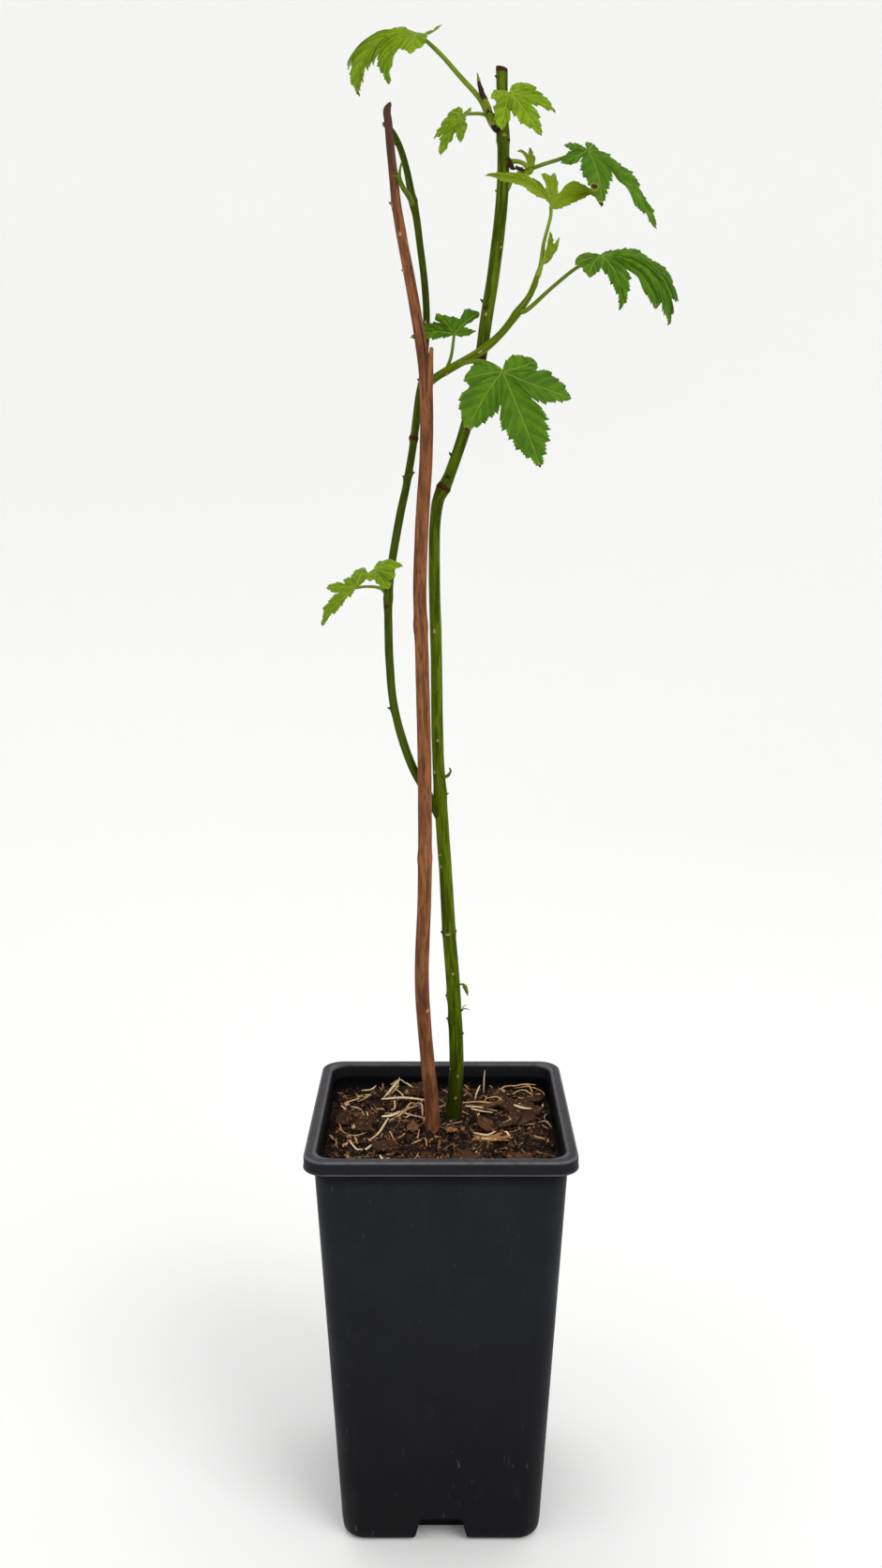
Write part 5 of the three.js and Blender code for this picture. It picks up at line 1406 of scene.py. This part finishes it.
# The strewing's inputs, by name.
INPUTS = {
    "Ground": "NodeSocketGeometry", "Bits": "NodeSocketCollection", "Per square metre": "NodeSocketFloat",
    "Smallest": "NodeSocketFloat", "Largest": "NodeSocketFloat", "Lean": "NodeSocketFloat",
    "Lift": "NodeSocketFloat", "Seed": "NodeSocketInt", "Finish": "NodeSocketMaterial",
}


def scatter_tree(name):
    """Strews copies of small shapes over the ground, each turned, leant, sized and toned by chance."""
    tree = bpy.data.node_groups.new(name, "GeometryNodeTree")
    sockets = {label: tree.interface.new_socket(label, in_out="INPUT", socket_type=kind).identifier
               for label, kind in INPUTS.items()}
    tree.interface.new_socket("Litter", in_out="OUTPUT", socket_type="NodeSocketGeometry")
    node = functools.partial(add, tree)
    given = node("given")
    lean, seed = given["Lean"], given["Seed"]
    density = node("multiply", given["Per square metre"], node("stored", "room"))
    strewn = node("GeometryNodeDistributePointsOnFaces",
                  {"Mesh": given["Ground"], "Density": density, "Seed": seed}, distribute_method="RANDOM")
    bits = node("GeometryNodeCollectionInfo",
                {"Collection": given["Bits"], "Separate Children": True, "Reset Children": True})
    less = node("multiply", lean, -1)
    turn = node("chances", node("join", less, less, 0), node("join", lean, lean, 2 * math.pi), seed)
    placed = node("GeometryNodeInstanceOnPoints", {
        "Points": strewn, "Instance": bits, "Pick Instance": True, "Rotation": turn,
        "Scale": node("chance", given["Smallest"], given["Largest"], seed)})
    lifted = node("GeometryNodeTranslateInstances", {
        "Instances": placed, "Translation": node("join", 0, 0, given["Lift"]), "Local Space": False})
    toned_bits = node("GeometryNodeStoreNamedAttribute",
                      {"Geometry": lifted, "Name": "tone", "Value": node("chance", 0, 1, 11)},
                      data_type="FLOAT", domain="INSTANCE")
    real = node("GeometryNodeRealizeInstances", {"Geometry": toned_bits})
    node("result", node("GeometryNodeSetMaterial", {"Geometry": real, "Material": given["Finish"]}))
    return tree, sockets


def compost():
    """Peat and composted bark, with the chips, straw and fibres that lie on it."""
    fill = bare_mesh("compost_fill", fill_shape(), [peat_compost()], 180)
    tree, sockets = scatter_tree("litter")
    rng = random.Random(12)
    crumb = toned("peat_crumb", "#050201", "#2b150a", "#a8704a", 0.0014, 0.0004, long=1)
    bark = toned("shredded_bark", "#0f0704", "#5c3922", "#ecb986", 0.0012, 0.0004)
    flake = toned("torn_bark", "#1c0f08", "#503423", "#c98d58", 0.0007, 0.0005, long=9)
    straw = toned("dry_straw", "#6a4322", "#c9935a", "#fbe6bb", 0.0008, 0.0002)
    fibre = toned("root_fibre", "#3a2415", "#845c3c", "#d9b184", 0.001, 0.0001)

    flakes = []
    for corners, thick, lift, tone in SHARDS:
        height = np.mean([soil_height(x, y) for x, y in corners]) + lift
        flakes.append(laid(bark_bit(corners, thick, rng, height, 0.2, 4), tone))
    finished(bare_mesh("bark_flakes", merged(flakes), [flake], 30), "compost")
    straws = [laid(straw_bit([(x, y, soil_height(x, y) + lift) for x, y, lift in spots], 1.9 * thick), tone)
              for spots, thick, tone in STRAWS]
    finished(bare_mesh("lying_straw", merged(straws), [straw], 50), "compost")

    # The name, shape, how many shapes, how many bits per square metre, smallest and largest
    # scale, lean in radians, lift in millimetres and finish of each kind of litter.
    lots = [
        ("compost_crumbs", "crumb", 6, 190000, 0.3, 1.3, 3.0, 0.1, crumb),
        ("bark_chips", "chip", 12, 36000, 0.3, 1.25, 0.8, 0.7, bark),
        ("straw_slivers", "straw", 10, 5200, 0.35, 1.0, 0.35, 1.0, straw),
        ("root_fibres", "fibre", 8, 9000, 0.4, 1.0, 0.35, 1.2, fibre),
    ]
    for seed, (name, kind, amount, density, smallest, largest, lean, lift, finish) in enumerate(lots, 3):
        bits = litter_bits(kind, amount, rng)
        carrier = put(name, fill.data)
        strew = carrier.modifiers.new("strew", "NODES")
        strew.node_group = tree
        values = {"Bits": bits, "Per square metre": float(density), "Smallest": smallest, "Largest": largest,
                  "Lean": lean, "Lift": lift * MM, "Seed": seed, "Finish": finish}
        for label, value in values.items():
            strew[sockets[label]] = value
        applied(carrier)
        for bit in list(bits.objects):
            bpy.data.objects.remove(bit)
        bpy.data.collections.remove(bits)
        finished(carrier, "compost")
    finished(fill, "compost", "compost")


# The studio. The camera stands where the photo's stood, by the pot's rim: its place, how far
# it looks down in degrees, and its focal length in the photo's pixels.
EYE = (0, -773, 565.5)
LOOK_DOWN = 9.78
PHOTO_SIZE = (941, 1672)
FOCAL_PIXELS = 1486
SENSOR = 36
# The floor, in metres: how far it is flat, the radius of its bend, how high its wall stands.
BOWL_FLAT = 2.0
BOWL_BEND = 1.6
BOWL_HIGH = 2.9
FLOOR_DROP = 0.0003
# The lights, each with its place in metres and its power in watts, their width, the point that
# they face, and the strength of the sky.
LIGHTS = [("key", (1.5, -1.7, 2.2), 30), ("fill", (-1.9, -1.1, 1.5), 3), ("back", (-0.6, 1.9, 2.3), 8)]
LIGHT_SIZE = 1.6
LIT_POINT = (0, 0, 0.5)
SKY = 0.86


def studio():
    """The camera, a pale floor, three soft lights and the light of the sky."""
    camera = bpy.data.cameras.new("camera")
    camera.sensor_width = SENSOR
    camera.lens = SENSOR * FOCAL_PIXELS / max(PHOTO_SIZE)
    camera.clip_start = 0.01
    camera.clip_end = 50
    seen = put("camera", camera)
    seen.location = [v * MM for v in EYE]
    seen.rotation_euler = (math.radians(90 - LOOK_DOWN), 0, 0)
    bpy.context.scene.camera = seen

    # The floor curves up into a wall all round, so that no horizon shows from any side.
    profile = [(r, 0.0) for r in (0.3, 0.8, 1.4)]
    profile += [(BOWL_FLAT + BOWL_BEND * math.sin(a), BOWL_BEND * (1 - math.cos(a)))
                for a in np.linspace(0, math.pi / 2, 25)]
    profile.append((BOWL_FLAT + BOWL_BEND, BOWL_HIGH))
    sides = 96
    turns = 2 * math.pi * np.arange(sides) / sides
    points = [(r * math.cos(a), r * math.sin(a), z - FLOOR_DROP) for r, z in profile for a in turns]
    ground = bpy.data.meshes.new("studio_floor")
    faces = [face[::-1] for face in ring_faces(len(profile), sides)]
    ground.from_pydata(points, [], faces + [list(range(sides))])
    ground.shade_smooth()
    # Pale matt paint, which takes little more than a soft shadow.
    paint, node = new_material("matt_floor_paint")
    node("surface", node("shader", {"Base Color": "#fbfbfa", "Roughness": 0.9, "Specular IOR Level": 0.1}))
    ground.materials.append(paint)
    floor = put("studio_floor", ground)

    for name, place, power in LIGHTS:
        light = bpy.data.lights.new(name, "AREA")
        light.shape = "SQUARE"
        light.size = LIGHT_SIZE
        light.energy = power
        lamp = put(name, light)
        lamp.location = place
        lamp.rotation_euler = (Vector(LIT_POINT) - Vector(place)).to_track_quat("-Z", "Y").to_euler()
        lamp.visible_camera = False

    world = bpy.data.worlds.new("studio")
    world.use_nodes = True
    air = world.node_tree.nodes["Background"]
    air.inputs["Color"].default_value = linear("#f6f7f7")
    air.inputs["Strength"].default_value = SKY
    bpy.context.scene.world = world
    bpy.context.scene.view_settings.view_transform = "Standard"


studio()
pot()
compost()
stems()
foliage()
